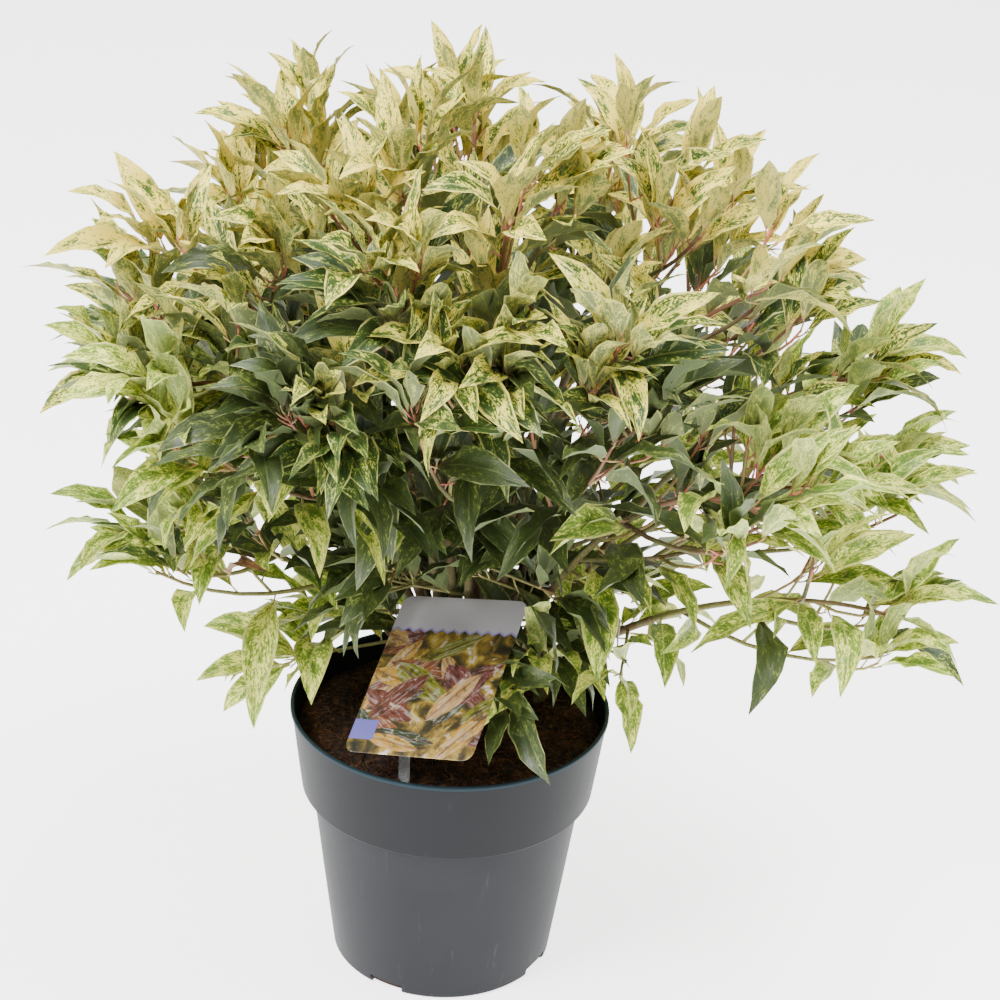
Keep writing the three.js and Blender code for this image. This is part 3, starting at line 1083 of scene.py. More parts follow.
    def place_leaf(self, spray: Spray, wish: LeafWish, random: SeededRandom) -> None:
        """Adds a leaf where it fits, turned and drawn in for some tries.

        Args:
            spray: The twig that it stands on.
            wish: The leaf's place, directions, length and kind.
            random: The foliage's own stream.
        """
        point, along = path_at(spray.path, wish.at)
        rule = spray.leaves
        upright = unit(along + UP * rule.rise)
        form = int(random() * len(self.forms))
        midrib = self.forms[form].midrib()
        roll = random.between(-self.roll, self.roll)
        width = wish.length * self.leaf_width * rule.broad * random.between(*self.width_jitter)
        for attempt in range(LEAF_TRIES):
            drawn_in = TRY_CLOSE**attempt
            axis = opened_from(upright, wish.open * drawn_in, wish.turn + attempt * TRY_TURN)
            axis = unit(axis - UP * rule.sag * math.sin(wish.open))
            face = upright * self.face_along + UP * self.face_up
            face = unit(face - axis * face.dot(axis))
            face = unit(face * math.cos(roll) + np.cross(axis, face) * math.sin(roll))
            root = point + axis * self.stalk
            reach = wish.length * drawn_in
            side = np.cross(face, axis) * width * drawn_in
            rib = root + midrib @ np.array([axis * reach, side, face * reach])
            foot = root + axis * self.stalk_end
            samples = np.array([foot, rib[1] + side / 2, rib[1] - side / 2, *rib])
            if self.clearances.fits(samples, spray.cane, -spray.overlap, LEAF_SOIL_MARGIN):
                number = spray.cane.number
                self.leaves.append(
                    Leaf(point, root, axis, face, reach, width * drawn_in, form, wish.kind, number)
                )
                return

    def openness(self, tip: Array) -> float:
        """Says how far apart leaves stand: farther to the right, and low at the sides.

        Args:
            tip: The tip of their twig.

        Returns:
            The factor on their spacing.
        """
        right = min(1.0, max(0.0, (tip[0] - self.right_from) / self.right_over))
        low = min(1.0, max(0.0, (abs(tip[0]) - self.low_from) / self.low_over))
        low = low if tip[2] < self.crown.centre[2] else 0.0
        return 1 + self.open_right * right + self.open_low * low

    def dress(self, spray: Spray, random: SeededRandom) -> None:
        """Sets leaves along a twig, and a tuft of young ones at its tip.

        Args:
            spray: The twig.
            random: The foliage's own stream.
        """
        rule = spray.leaves
        whole = path_length(spray.path)
        kind = self.spray_kind(spray.path[-1], spray.cane.is_arm, random)
        body = max(whole - self.tuft_reach, rule.first_at)
        openness = self.openness(spray.path[-1])
        spacing = rule.spacing * openness
        count = max(1, int((body - rule.first_at) / spacing) + 1)
        level = float(np.hypot(*(spray.path[-1] - spray.path[0])[:2])) / whole
        ranked = level > self.two_ranked
        turn = random.between(-self.ranked_turn, self.ranked_turn) if ranked else random.turn()
        step = math.pi if ranked else GOLDEN_ANGLE
        older_until = self.young_older_until if spray.young else self.older_until
        for index in range(count):
            share = index / max(1, count - 1)
            at = mix(rule.first_at, body, share**rule.crowding)
            wide = math.radians(mix(rule.open_foot, rule.open_tip, share * share))
            young = mix(1, rule.youngest, share * share)
            length = rule.length * young * (1 + rule.jitter * (random() - 0.5))
            aged = OLDER.get(kind, kind) if share < older_until else kind
            aged = OLDER.get(aged, aged) if share < self.oldest_until else aged
            tint = LeafKind.DRY if random() < self.dry_share else aged
            length *= self.dry_length if tint is LeafKind.DRY else 1.0
            aside = random.between(-self.aside, self.aside)
            self.place_leaf(spray, LeafWish(at, turn + aside + index * step, wide, length, tint), random)
        turn += count * GOLDEN_ANGLE
        tuft = round(self.tuft_count / openness**0.5)
        for index in range(tuft):
            share = index / (tuft - 1)
            at = mix(body, whole - self.tuft_end, share)
            wide = math.radians(mix(*self.tuft_open, share))
            length = self.tuft_length * mix(1.0, self.tuft_shortest, share)
            length *= random.between(*self.tuft_jitter)
            self.place_leaf(spray, LeafWish(at, turn + index * GOLDEN_ANGLE, wide, length, kind), random)

    def grow(self) -> None:
        """Grows every cane's foliage."""
        for cane in self.canes:
            random = SeededRandom(LEAF_SEED + cane.number)
            stem = cane.stem(self.stem_steps)
            shoots = [rounded_path(path, self.shoot_bend) for path in self.grow_shoots(cane)]
            twigs = [twig for parent in [stem, *shoots] for twig in self.grow_twigs(cane, parent, random)]
            low = self.grow_low_twigs(cane, random)
            sprays = [Spray(cane, stem, STEM_RADII, self.stem_leaves, False)]
            sprays += [Spray(cane, path, SHOOT_RADII, self.shoot_leaves, False) for path in shoots]
            sprays += [Spray(cane, path, TWIG_RADII, self.twig_leaves, True) for path in twigs]
            sprays += [Spray(cane, path, TWIG_RADII, self.low_leaves, False, LOW_OVERLAP) for path in low]
            for spray in sprays:
                self.dress(spray, random)
            self.sprays += sprays


def place(piece: bpy.types.Object, replaced: Iterable[str] = ()) -> bpy.types.Object:
    """Makes a piece ride on the plant and the nodes that it stands for.

    Args:
        piece: The piece.
        replaced: The frame's nodes that the piece replaces.

    Returns:
        The piece.
    """
    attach(piece, "root")
    names = list(replaced)
    if names:
        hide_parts(*names)
    LOG.info("%s: %d faces", piece.name, len(piece.data.polygons))
    return piece


def object_from(name: str, mesh: bpy.types.Mesh, materials: Sequence[Material]) -> bpy.types.Object:
    """Links an object to the scene.

    Args:
        name: Its name.
        mesh: Its mesh.
        materials: Its materials, in the order of its faces' indices.

    Returns:
        The object.
    """
    for material in materials:
        mesh.materials.append(material)
    piece = bpy.data.objects.new(name, mesh)
    bpy.context.scene.collection.objects.link(piece)
    return piece


def mesh_from(name: str, bm: bmesh.types.BMesh, smooth: bool = True) -> bpy.types.Mesh:
    """Writes a mesh from a bmesh, which is freed.

    Args:
        name: The mesh's name.
        bm: The bmesh.
        smooth: True where its faces are shaded smoothly.

    Returns:
        The mesh.
    """
    for face in bm.faces:
        face.smooth = smooth
    mesh = bpy.data.meshes.new(name)
    bm.to_mesh(mesh)
    bm.free()
    return mesh


def turned(outline: Iterable[Pair], facets: int) -> bmesh.types.BMesh:
    """Spins an outline about the upright axis into a closed body.

    Args:
        outline: Radii and heights, from one end on the axis to the other.
        facets: How many facets go round.

    Returns:
        The body's bmesh, with its faces outward.
    """
    bm = bmesh.new()
    verts = [bm.verts.new((radius, 0.0, height)) for radius, height in outline]
    edges = [bm.edges.new(pair) for pair in zip(verts[:-1], verts[1:])]
    bmesh.ops.spin(
        bm, geom=verts + edges, cent=(0, 0, 0), axis=(0, 0, 1), angle=FULL_TURN,
        steps=facets, use_merge=True, use_duplicate=False,
    )
    bmesh.ops.remove_doubles(bm, verts=bm.verts, dist=1e-6)
    bmesh.ops.recalc_face_normals(bm, faces=bm.faces)
    return bm


class Shader:
    """Builds one node material round a Principled surface."""

    def __init__(self, name: str, roughness: float, specular: float = 0.5) -> None:
        """Starts a material with a constant roughness and specular level.

        Args:
            name: The material's name.
            roughness: Its roughness.
            specular: Its specular level.
        """
        self.material = bpy.data.materials.new(name)
        self.material.use_nodes = True
        self.tree = self.material.node_tree
        self.surface = self.tree.nodes["Principled BSDF"]
        self.surface.inputs["Roughness"].default_value = roughness
        self.surface.inputs["Specular IOR Level"].default_value = specular

    def node(self, kind: str, inputs: dict[int | str, object], **settings: object) -> bpy.types.Node:
        """Adds a node, sets its options and links or sets its inputs.

        Args:
            kind: The node's type.
            inputs: A value or an output socket for each input's index or name.
            settings: The node's options.

        Returns:
            The node.
        """
        node = self.tree.nodes.new(kind)
        for option, value in settings.items():
            setattr(node, option, value)
        for key, value in inputs.items():
            if isinstance(value, Socket):
                self.tree.links.new(value, node.inputs[key])
            else:
                node.inputs[key].default_value = value
        return node

    def math(self, operation: str, a: object, b: object = 0.0) -> Socket:
        """Returns the result of a Math node."""
        return self.node("ShaderNodeMath", {0: a, 1: b}, operation=operation).outputs[0]

    def plus(self, a: object, b: object) -> Socket:
        """Returns a sum."""
        return self.math("ADD", a, b)

    def minus(self, a: object, b: object) -> Socket:
        """Returns a difference."""
        return self.math("SUBTRACT", a, b)

    def times(self, a: object, b: object) -> Socket:
        """Returns a product."""
        return self.math("MULTIPLY", a, b)

    def split(self, vector: object) -> Sequence[Socket]:
        """Returns the three parts of a vector."""
        return self.node("ShaderNodeSeparateXYZ", {0: vector}).outputs

    def joined(self, x: object, y: object, z: object) -> Socket:
        """Returns a vector made of three parts."""
        return self.node("ShaderNodeCombineXYZ", {0: x, 1: y, 2: z}).outputs[0]

    def step(self, value: object, low: float, high: float) -> Socket:
        """Returns a smooth step of a value from 0 at low to 1 at high."""
        inputs = {"Value": value, "From Min": low, "From Max": high}
        return self.node("ShaderNodeMapRange", inputs, interpolation_type="SMOOTHSTEP").outputs[0]

    def blend(self, share: object, a: object, b: object) -> Socket:
        """Returns colour a mixed with colour b by a share."""
        a, b = ((*c, 1.0) if isinstance(c, tuple) else c for c in (a, b))
        return self.node("ShaderNodeMix", {0: share, 6: a, 7: b}, data_type="RGBA").outputs[2]

    def noise(
        self, vector: object, scale: float, detail: float = 3.0, rough: float = 0.55, bend: float = 0.0
    ) -> Socket:
        """Returns a noise value about 0.5."""
        inputs = {"Vector": vector, "Scale": scale, "Detail": detail, "Roughness": rough}
        return self.node("ShaderNodeTexNoise", inputs | {"Distortion": bend}).outputs[0]

    def ramp(self, value: object, stops: Sequence[tuple[float, Colour]]) -> Socket:
        """Turns a value into colours.

        Args:
            value: The value.
            stops: The positions along the ramp and their colours.

        Returns:
            The colour.
        """
        node = self.node("ShaderNodeValToRGB", {0: value})
        elements = node.color_ramp.elements
        while len(elements) < len(stops):
            elements.new(1.0)
        for element, (position, colour) in zip(elements, stops):
            element.position = position
            element.color = (*colour, 1.0)
        return node.outputs[0]

    def place_of(self) -> Socket:
        """Returns the Object coordinates."""
        return self.tree.nodes.new("ShaderNodeTexCoord").outputs["Object"]

    def map_of(self, name: str) -> Socket:
        """Returns the coordinates of one of the mesh's maps."""
        return self.node("ShaderNodeUVMap", {}, uv_map=name).outputs[0]

    def stretched(self, vector: object, scale: Triple) -> Socket:
        """Returns coordinates scaled apart along each axis."""
        return self.node("ShaderNodeMapping", {"Vector": vector, "Scale": scale}).outputs[0]

    def colour(self, value: object) -> None:
        """Gives the surface its colour.

        Args:
            value: A plain colour, or a colour's socket.
        """
        if isinstance(value, tuple):
            self.surface.inputs["Base Color"].default_value = (*value, 1.0)
        else:
            self.tree.links.new(value, self.surface.inputs["Base Color"])

    def roughness(self, value: Socket) -> None:
        """Gives the surface a patterned roughness."""
        self.tree.links.new(value, self.surface.inputs["Roughness"])

    def bump(self, height: object, strength: float, distance: float) -> None:
        """Gives the surface relief too fine for its mesh."""
        bump = self.node("ShaderNodeBump", {"Strength": strength, "Distance": distance, "Height": height})
        self.tree.links.new(bump.outputs[0], self.surface.inputs["Normal"])


@dataclass(frozen=True)
class Marbling:
    """The pattern that all leaves share: patches and flecks in streaks along slanting veins."""

    veins_along: float = 6.7
    veins_aside: float = 0.32
    ranks_aside: float = 1.05
    ranks_along: float = 2.05
    stretch: Pair = (0.75, 1.7)
    leaf_offset: float = 3.7
    half_offset: float = 17.0
    patch_scale: float = 0.9
    patch_share: float = 0.46
    fleck_scale: float = 5.6
    fleck_share: float = 0.54
    bend: float = 0.2
    tone_spread: float = 0.07
    ragged: float = 0.5
    midrib: Pair = (0.015, 0.09)
    blush_from: float = 0.8
    darkest: float = 0.86
    value_spread: float = 0.26
    ribs: float = 9.5
    rib_relief: float = 0.3
    fleck_relief: float = 0.6
    relief: float = 0.4
    depth: float = 0.0005


@dataclass(frozen=True)
class LeafFinish:
    """One kind of leaf: cream ground, green marbling in streaks along the veins, and a pale edge."""

    kind: LeafKind
    ground: Colour
    middle: Colour
    green: Colour
    dark: Colour
    stops: tuple[float, float, float, float]
    edge: Colour
    edge_width: float
    edge_share: float
    blush: float
    roughness: float = 0.44
    specular: float = 0.2
    under: Colour = (0.4, 0.44, 0.19)
    under_share: float = 0.38
    under_roughness: float = 0.15
    rib: Colour = (0.6, 0.62, 0.2)
    rib_share: float = 0.4
    pink: Colour = (0.66, 0.2, 0.16)
    marbling: Marbling = Marbling()

    def build(self, underside: bool) -> Material:
        """Makes the material of one side.

        Args:
            underside: True for the under side, which is paler and duller.

        Returns:
            The material.
        """
        rule = self.marbling
        side = "under" if underside else "upper"
        roughness = self.roughness + (self.under_roughness if underside else 0)
        shader = Shader(f"leaf_{self.kind.value}_{side}", roughness, self.specular)
        split = shader.split(shader.map_of("blade"))
        number = shader.math("FLOOR", split[0])
        along = shader.math("FRACT", split[0])
        across = split[1]
        aside = shader.math("ABSOLUTE", across)
        vein = shader.plus(shader.times(along, rule.veins_along), shader.times(aside, rule.veins_aside))
        rank = shader.minus(shader.times(aside, rule.ranks_aside), shader.times(along, rule.ranks_along))
        half = shader.times(shader.math("GREATER_THAN", across, 0.0), rule.half_offset)
        streak = shader.joined(
            shader.times(vein, rule.stretch[0]),
            shader.times(rank, rule.stretch[1]),
            shader.plus(shader.times(number, rule.leaf_offset), half),
        )
        patches = shader.noise(streak, rule.patch_scale, 2.0, 0.5, rule.bend)
        flecks = shader.noise(streak, rule.fleck_scale, 2.0, 0.6, rule.bend)
        tone = shader.node("ShaderNodeTexWhiteNoise", {"W": number}, noise_dimensions="1D").outputs[0]
        marks = shader.plus(
            shader.times(patches, rule.patch_share), shader.times(flecks, rule.fleck_share)
        )
        marks = shader.plus(marks, shader.times(shader.minus(tone, 0.5), rule.tone_spread))
        colours = (self.ground, self.middle, self.green, self.dark)
        colour = shader.ramp(marks, list(zip(self.stops, colours)))
        ragged = shader.plus(aside, shader.times(shader.minus(patches, 0.5), rule.ragged))
        margin = shader.step(ragged, 1.0 - self.edge_width, 1.0)
        colour = shader.blend(shader.times(margin, self.edge_share), colour, self.edge)
        midrib = shader.minus(1.0, shader.step(aside, *rule.midrib))
        colour = shader.blend(shader.times(midrib, self.rib_share), colour, self.rib)
        root = shader.step(shader.minus(1.0, along), rule.blush_from, 1.0)
        colour = shader.blend(shader.times(root, self.blush), colour, self.pink)
        value = shader.plus(rule.darkest, shader.times(tone, rule.value_spread))
        if underside:
            colour = shader.blend(self.under_share, colour, self.under)
        colour = shader.node("ShaderNodeHueSaturation", {"Value": value, "Color": colour}).outputs[0]
        shader.colour(colour)
        ribs = shader.math("SINE", shader.times(rank, rule.ribs))
        relief = shader.plus(shader.times(ribs, rule.rib_relief), shader.times(midrib, -1.0))
        relief = shader.plus(relief, shader.times(flecks, rule.fleck_relief))
        shader.bump(relief, -rule.relief if underside else rule.relief, rule.depth)
        return shader.material


LEAF_FINISHES = (
    LeafFinish(
        LeafKind.CREAM, (0.9, 0.71, 0.12), (0.52, 0.5, 0.07), (0.15, 0.21, 0.034), (0.05, 0.09, 0.02),
        (0.48, 0.502, 0.53, 0.59), (0.84, 0.68, 0.17), 0.3, 0.5, 0.4,
    ),
    LeafFinish(
        LeafKind.FLECKED, (0.8, 0.68, 0.12), (0.34, 0.39, 0.05), (0.09, 0.145, 0.022), (0.03, 0.056, 0.013),
        (0.44, 0.47, 0.5, 0.56), (0.78, 0.68, 0.18), 0.22, 0.8, 0.25,
    ),
    LeafFinish(
        LeafKind.MARBLED, (0.5, 0.52, 0.1), (0.12, 0.18, 0.026), (0.045, 0.08, 0.014), (0.02, 0.042, 0.01),
        (0.39, 0.42, 0.46, 0.54), (0.6, 0.58, 0.18), 0.14, 0.85, 0.15, specular=0.4, rib=(0.3, 0.34, 0.08),
    ),
    LeafFinish(
        LeafKind.DEEP, (0.24, 0.28, 0.055), (0.07, 0.1, 0.016), (0.038, 0.06, 0.012), (0.022, 0.037, 0.009),
        (0.37, 0.41, 0.47, 0.6), (0.42, 0.43, 0.15), 0.07, 0.6, 0.1, 0.42,
        specular=0.5, under=(0.13, 0.17, 0.065), rib=(0.15, 0.18, 0.05), rib_share=0.3,
    ),
    # Lime green, painted paler as if the light shone through the leaves from behind.
    LeafFinish(
        LeafKind.BACKLIT_LIME, (0.8, 0.78, 0.18), (0.46, 0.54, 0.08), (0.22, 0.32, 0.04), (0.08, 0.14, 0.022),
        (0.43, 0.46, 0.5, 0.6), (0.76, 0.72, 0.24), 0.22, 0.6, 0.15,
    ),
    LeafFinish(
        LeafKind.DRY, (0.34, 0.2, 0.08), (0.24, 0.12, 0.045), (0.13, 0.055, 0.025), (0.06, 0.025, 0.015),
        (0.4, 0.46, 0.52, 0.6), (0.3, 0.2, 0.11), 0.2, 0.5, 0.0, 0.6,
        under=(0.3, 0.2, 0.12), under_share=0.5, rib=(0.3, 0.19, 0.1),
    ),
)


@dataclass
class LeafPieces:
    """Joins leaves into pieces, each kind apart."""

    foliage: Foliage
    parts: int = 2
    atlas_margin: float = 0.04
    end_margin: float = 0.01
    rim_from: float = 0.99
    tip_from: float = 0.999

    def rim(self, form: LeafForm) -> Array:
        """Returns which of a blade's vertices lie on its outline."""
        at_ends = (form.along < 1 - self.tip_from) | (form.along > self.tip_from)
        return (np.abs(form.across) > self.rim_from) | at_ends

    def join(self, name: str, leaves: list[Leaf], materials: list[Material]) -> bpy.types.Object:
        """Makes one piece that holds many leaves.

        Args:
            name: The piece's name.
            leaves: Its leaves.
            materials: The upper and the under side's material.

        Returns:
            The piece, with one map that runs along and across each blade and one flat map of all.
        """
        points, faces, sides, blade, sheet, rims = [], [], [], [], [], []
        columns = max(1, math.ceil(math.sqrt(len(leaves) / 2)))
        rows = math.ceil(len(leaves) / columns)
        margin = self.atlas_margin
        offset = 0
        for number, leaf in enumerate(leaves):
            form = self.foliage.forms[leaf.form]
            side = np.cross(leaf.face, leaf.axis)
            local = form.points
            placed = leaf.root + local[:, :1] * leaf.length * leaf.axis
            placed = placed + local[:, 1:2] * leaf.width * side + local[:, 2:] * leaf.length * leaf.face
            points.append(placed)
            rims.append(self.rim(form))
            cell_x, cell_y = number % columns, number // columns
            for face, is_under in zip(form.faces, form.sides):
                faces.append(tuple(index + offset for index in face))
                sides.append(is_under)
                for index in face:
                    along = self.end_margin + (1 - 2 * self.end_margin) * form.along[index]
                    across = form.across[index]
                    blade += [number + along, across]
                    half = 0.5 + across * (0.5 - margin)
                    upward = (is_under + margin + half * (1 - 2 * margin)) / 2
                    sheet += [(cell_x + along) / columns, (cell_y + upward) / rows]
            offset += len(local)
        mesh = bpy.data.meshes.new(name)
        mesh.from_pydata(np.concatenate(points).tolist(), [], faces)
        mesh.polygons.foreach_set("material_index", sides)
        mesh.polygons.foreach_set("use_smooth", [True] * len(faces))
        mesh.uv_layers.new(name="blade").data.foreach_set("uv", blade)
        mesh.uv_layers.new(name="OFBake").data.foreach_set("uv", sheet)
        rim = np.concatenate(rims)
        ends = np.zeros(len(mesh.edges) * 2, np.int32)
        mesh.edges.foreach_get("vertices", ends)
        sharp = rim[ends[0::2]] & rim[ends[1::2]]
        mesh.attributes.new("sharp_edge", "BOOLEAN", "EDGE").data.foreach_set("value", sharp)
        return object_from(name, mesh, materials)

    def build(self, nodes: list[str]) -> None:
        """Builds the pieces of every kind.

        Args:
            nodes: The frame's masses of foliage, for which they stand.
        """
        for finish in LEAF_FINISHES:
            materials = [finish.build(False), finish.build(True)]
            own = [leaf for leaf in self.foliage.leaves if leaf.kind is finish.kind]
            parts = 1 if finish.kind is LeafKind.DRY else self.parts
            for part in range(parts):
                leaves = [leaf for leaf in own if leaf.cane % parts == part]
                name = f"leaves_{finish.kind.value}_{part + 1}"
                place(self.join(name, leaves, materials), nodes)


def ring_axes(path: Array) -> list[tuple[Array, Array]]:
    """Carries a pair of directions along a path without turning them about it.

    Args:
        path: The path's points.

    Returns:
        Two directions square to the path at each of its points.
    """
    tangents = np.gradient(path, axis=0)
    axes = []
    side = np.array([1.0, 0.0, 0.0])
    for tangent in tangents:
        tangent = unit(tangent)
        side = unit(side - tangent * side.dot(tangent))
        axes.append((side, np.cross(tangent, side)))
    return axes


def tubes(
    name: str,
    runs: Iterable[tuple[Array, float, float]],
    sides: int,
    materials: Sequence[Material],
) -> bpy.types.Object:
    """Makes many thin tapers along paths, as one joined piece.

    Args:
        name: The piece's name.
        runs: A path, its first and its last radius for each taper.
        sides: How many sides each has.
        materials: The piece's material.

    Returns:
        The piece, with a map that runs along and round each taper.
    """
    points, faces, wrap = [], [], []
    turns = np.arange(sides) * 2 * math.pi / sides
    for number, (path, first, last) in enumerate(runs):
        base = len(points)
        radii = np.linspace(first, last, len(path))
        for centre, radius, (e1, e2) in zip(path, radii, ring_axes(path)):
            for turn in turns:
                points.append(centre + radius * (e1 * math.cos(turn) + e2 * math.sin(turn)))
        for step in range(len(path) - 1):
            for i in range(sides):
                j = (i + 1) % sides
                low, high = base + step * sides, base + (step + 1) * sides
                faces.append((low + i, low + j, high + j, high + i))
                for s, t in ((step, i), (step, i + 1), (step + 1, i + 1), (step + 1, i)):
                    wrap += [number + RUN_SHARE * s / len(path), t / sides]
        top = base + (len(path) - 1) * sides
        faces.append(tuple(base + i for i in reversed(range(sides))))
        faces.append(tuple(top + i for i in range(sides)))
        wrap += [float(number), 0.5] * sides
        wrap += [number + RUN_SHARE, 0.5] * sides
    mesh = bpy.data.meshes.new(name)
    mesh.from_pydata([tuple(point) for point in points], [], faces)
    mesh.polygons.foreach_set("use_smooth", [True] * len(faces))
    mesh.uv_layers.new(name="bark").data.foreach_set("uv", wrap)
    return object_from(name, mesh, materials)


@dataclass(frozen=True)
class BarkFinish:
    """Bark from green through tan to grey brown, with fine lengthwise cracks."""

    name: str
    young: Colour
    old: Colour
    dark: Colour
    roughness: float = 0.7
    specular: float = 0.35
    tip: Colour | None = None
    tip_over: Pair = (0.3, 0.75)
    low: Colour | None = None
    low_until: Pair = (0.24, 0.36)
    crack_scale: float = 900.0
    crack_stretch: float = 0.22
    blotch_scale: float = 55.0

    def build(self) -> Material:
        """Makes the material.

        Returns:
            The material, which turns into the tip's colour along the map's runs.
        """
        shader = Shader(self.name, self.roughness, self.specular)
        place_on = shader.place_of()
        lengthwise = shader.stretched(place_on, (1.0, 1.0, self.crack_stretch))
        cracks = shader.noise(lengthwise, self.crack_scale, 4.0, 0.65)
        blotches = shader.noise(place_on, self.blotch_scale, 3.0, 0.6)
        colour = shader.blend(shader.step(blotches, 0.38, 0.62), self.young, self.old)
        aloft = 1.0
        if self.low:
            aloft = shader.step(shader.split(place_on)[2], *self.low_until)
            colour = shader.blend(aloft, self.low, colour)
        colour = shader.blend(shader.step(cracks, 0.52, 0.72), colour, self.dark)
        if self.tip:
            along = shader.math("FRACT", shader.split(shader.map_of("bark"))[0])
            reddened = shader.times(shader.step(along, *self.tip_over), aloft)
            colour = shader.blend(reddened, colour, self.tip)
        shader.colour(colour)
        shader.bump(cracks, 0.5, 0.0006)
        return shader.material


OLD_BARK = BarkFinish("bark_old", (0.13, 0.115, 0.045), (0.12, 0.07, 0.035), (0.045, 0.026, 0.014), 0.75)
STEM_BARK = BarkFinish(
    "bark_stem", (0.11, 0.11, 0.035), (0.095, 0.055, 0.026), (0.05, 0.03, 0.016), 0.6,
    tip=(0.17, 0.075, 0.04), low=(0.2, 0.19, 0.06),
)
YOUNG_BARK = BarkFinish(
    "bark_young", (0.26, 0.25, 0.07), (0.28, 0.12, 0.06), (0.18, 0.07, 0.04), 0.5,
    tip=(0.52, 0.13, 0.09), low=(0.3, 0.31, 0.09),
)
STALK_BARK = BarkFinish(
    "stalk_pink", (0.46, 0.15, 0.11), (0.42, 0.36, 0.14), (0.34, 0.09, 0.07), 0.45,
    low=(0.42, 0.43, 0.14),
)


@dataclass
class Wood:
    """The canes with their bark, the stems and shoots, the young twigs and the leaf stalks."""

    foliage: Foliage
    rings: int = 34
    sides: int = 12
    flare_over: float = 3.0
    knot_every: float = 0.021
    knot_length: float = 0.0016
    knot_height: float = 0.09
    ridges: float = 0.1
    stem_sides: int = 6
    twig_sides: int = 5
    stalk_sides: int = 3
    stalk_radii: Pair = (0.0008, 0.00045)
    stalk_sag: float = 0.0006

    def cane_radius(self, share: float, along: float) -> float:
        """Shapes a cane, with its flared foot and a slight knot at each old leaf scar.

        Args:
            share: A share of its length.
            along: The distance from its foot there.

        Returns:
            Its radius.
        """
        flare = 1 + (CANE_FLARE - 1) * max(0.0, 1 - share * self.flare_over)
        from_knot = (along % self.knot_every) - self.knot_every / 2
        knot = math.exp(-((from_knot / self.knot_length) ** 2))
        return mix(*CANE_RADII, share) * flare * (1 + self.knot_height * knot)

    def add_cane(self, bm: bmesh.types.BMesh, cane: Cane) -> None:
        """Adds one cane as rings that are bridged, with ridges along its bark.

        Args:
            bm: The bmesh of all canes.
            cane: The cane.
        """
        path = cane.bough(self.rings)
        whole = path_length(path)
        before = None
        axes = ring_axes(path)
        axes[0] = (np.array([1.0, 0.0, 0.0]), np.array([0.0, 1.0, 0.0]))
        for step, (centre, (e1, e2)) in enumerate(zip(path, axes)):
            share = step / self.rings
            ring = bmesh.ops.create_circle(bm, segments=self.sides, radius=1.0)["verts"]
            radius = self.cane_radius(share, share * whole)
            for vert in ring:
                turn = math.atan2(vert.co.y, vert.co.x)
                spot = (math.cos(turn) * 2, math.sin(turn) * 2, cane.number + share * 5)
                bulge = 1 + self.ridges * noise.noise(Vector(spot))
                offset = (e1 * math.cos(turn) + e2 * math.sin(turn)) * radius * bulge
                vert.co = Vector(centre + offset)
            edges = list({edge for vert in ring for edge in vert.link_edges})
            if before is None:
                bmesh.ops.contextual_create(bm, geom=edges)
            else:
                bmesh.ops.bridge_loops(bm, edges=before + edges)
            before = edges
        bmesh.ops.contextual_create(bm, geom=before)

    def build_canes(self, nodes: list[str]) -> None:
        """Builds every cane, as one joined piece.

        Args:
            nodes: The frame's boughs, for which it stands.
        """
        bm = bmesh.new()
        for cane in self.foliage.canes:
            self.add_cane(bm, cane)
        bmesh.ops.recalc_face_normals(bm, faces=bm.faces)
        piece = object_from("canes_bark", mesh_from("canes_bark", bm), [OLD_BARK.build()])
        place(piece, nodes)

    def stalk(self, leaf: Leaf) -> Array:
        """Bends a leaf's stalk from its twig to the foot of its blade.

        Args:
            leaf: The leaf.

        Returns:
            The stalk's path.
        """
        end = leaf.root + leaf.axis * self.foliage.stalk_end
        middle = (leaf.stalk + end) / 2 - leaf.face * self.stalk_sag
        return rounded_path(np.array([leaf.stalk, middle, end]), 2)

    def build_twigs(self, nodes: list[str]) -> None:
        """Builds the stems and shoots, the young twigs and the leaf stalks.

        Args:
            nodes: The frame's masses of foliage, for which they stand.
        """
        stems = [(spray.path, *spray.radii) for spray in self.foliage.sprays if not spray.young]
        twigs = [(spray.path, *spray.radii) for spray in self.foliage.sprays if spray.young]
        stalks = [(self.stalk(leaf), *self.stalk_radii) for leaf in self.foliage.leaves]
        for name, runs, sides, bark in (
            ("stems_wood", stems, self.stem_sides, STEM_BARK),
            ("twigs_young", twigs, self.twig_sides, YOUNG_BARK),
            ("leaf_stalks", stalks, self.stalk_sides, STALK_BARK),
        ):
            place(tubes(name, runs, sides, [bark.build()]), nodes)


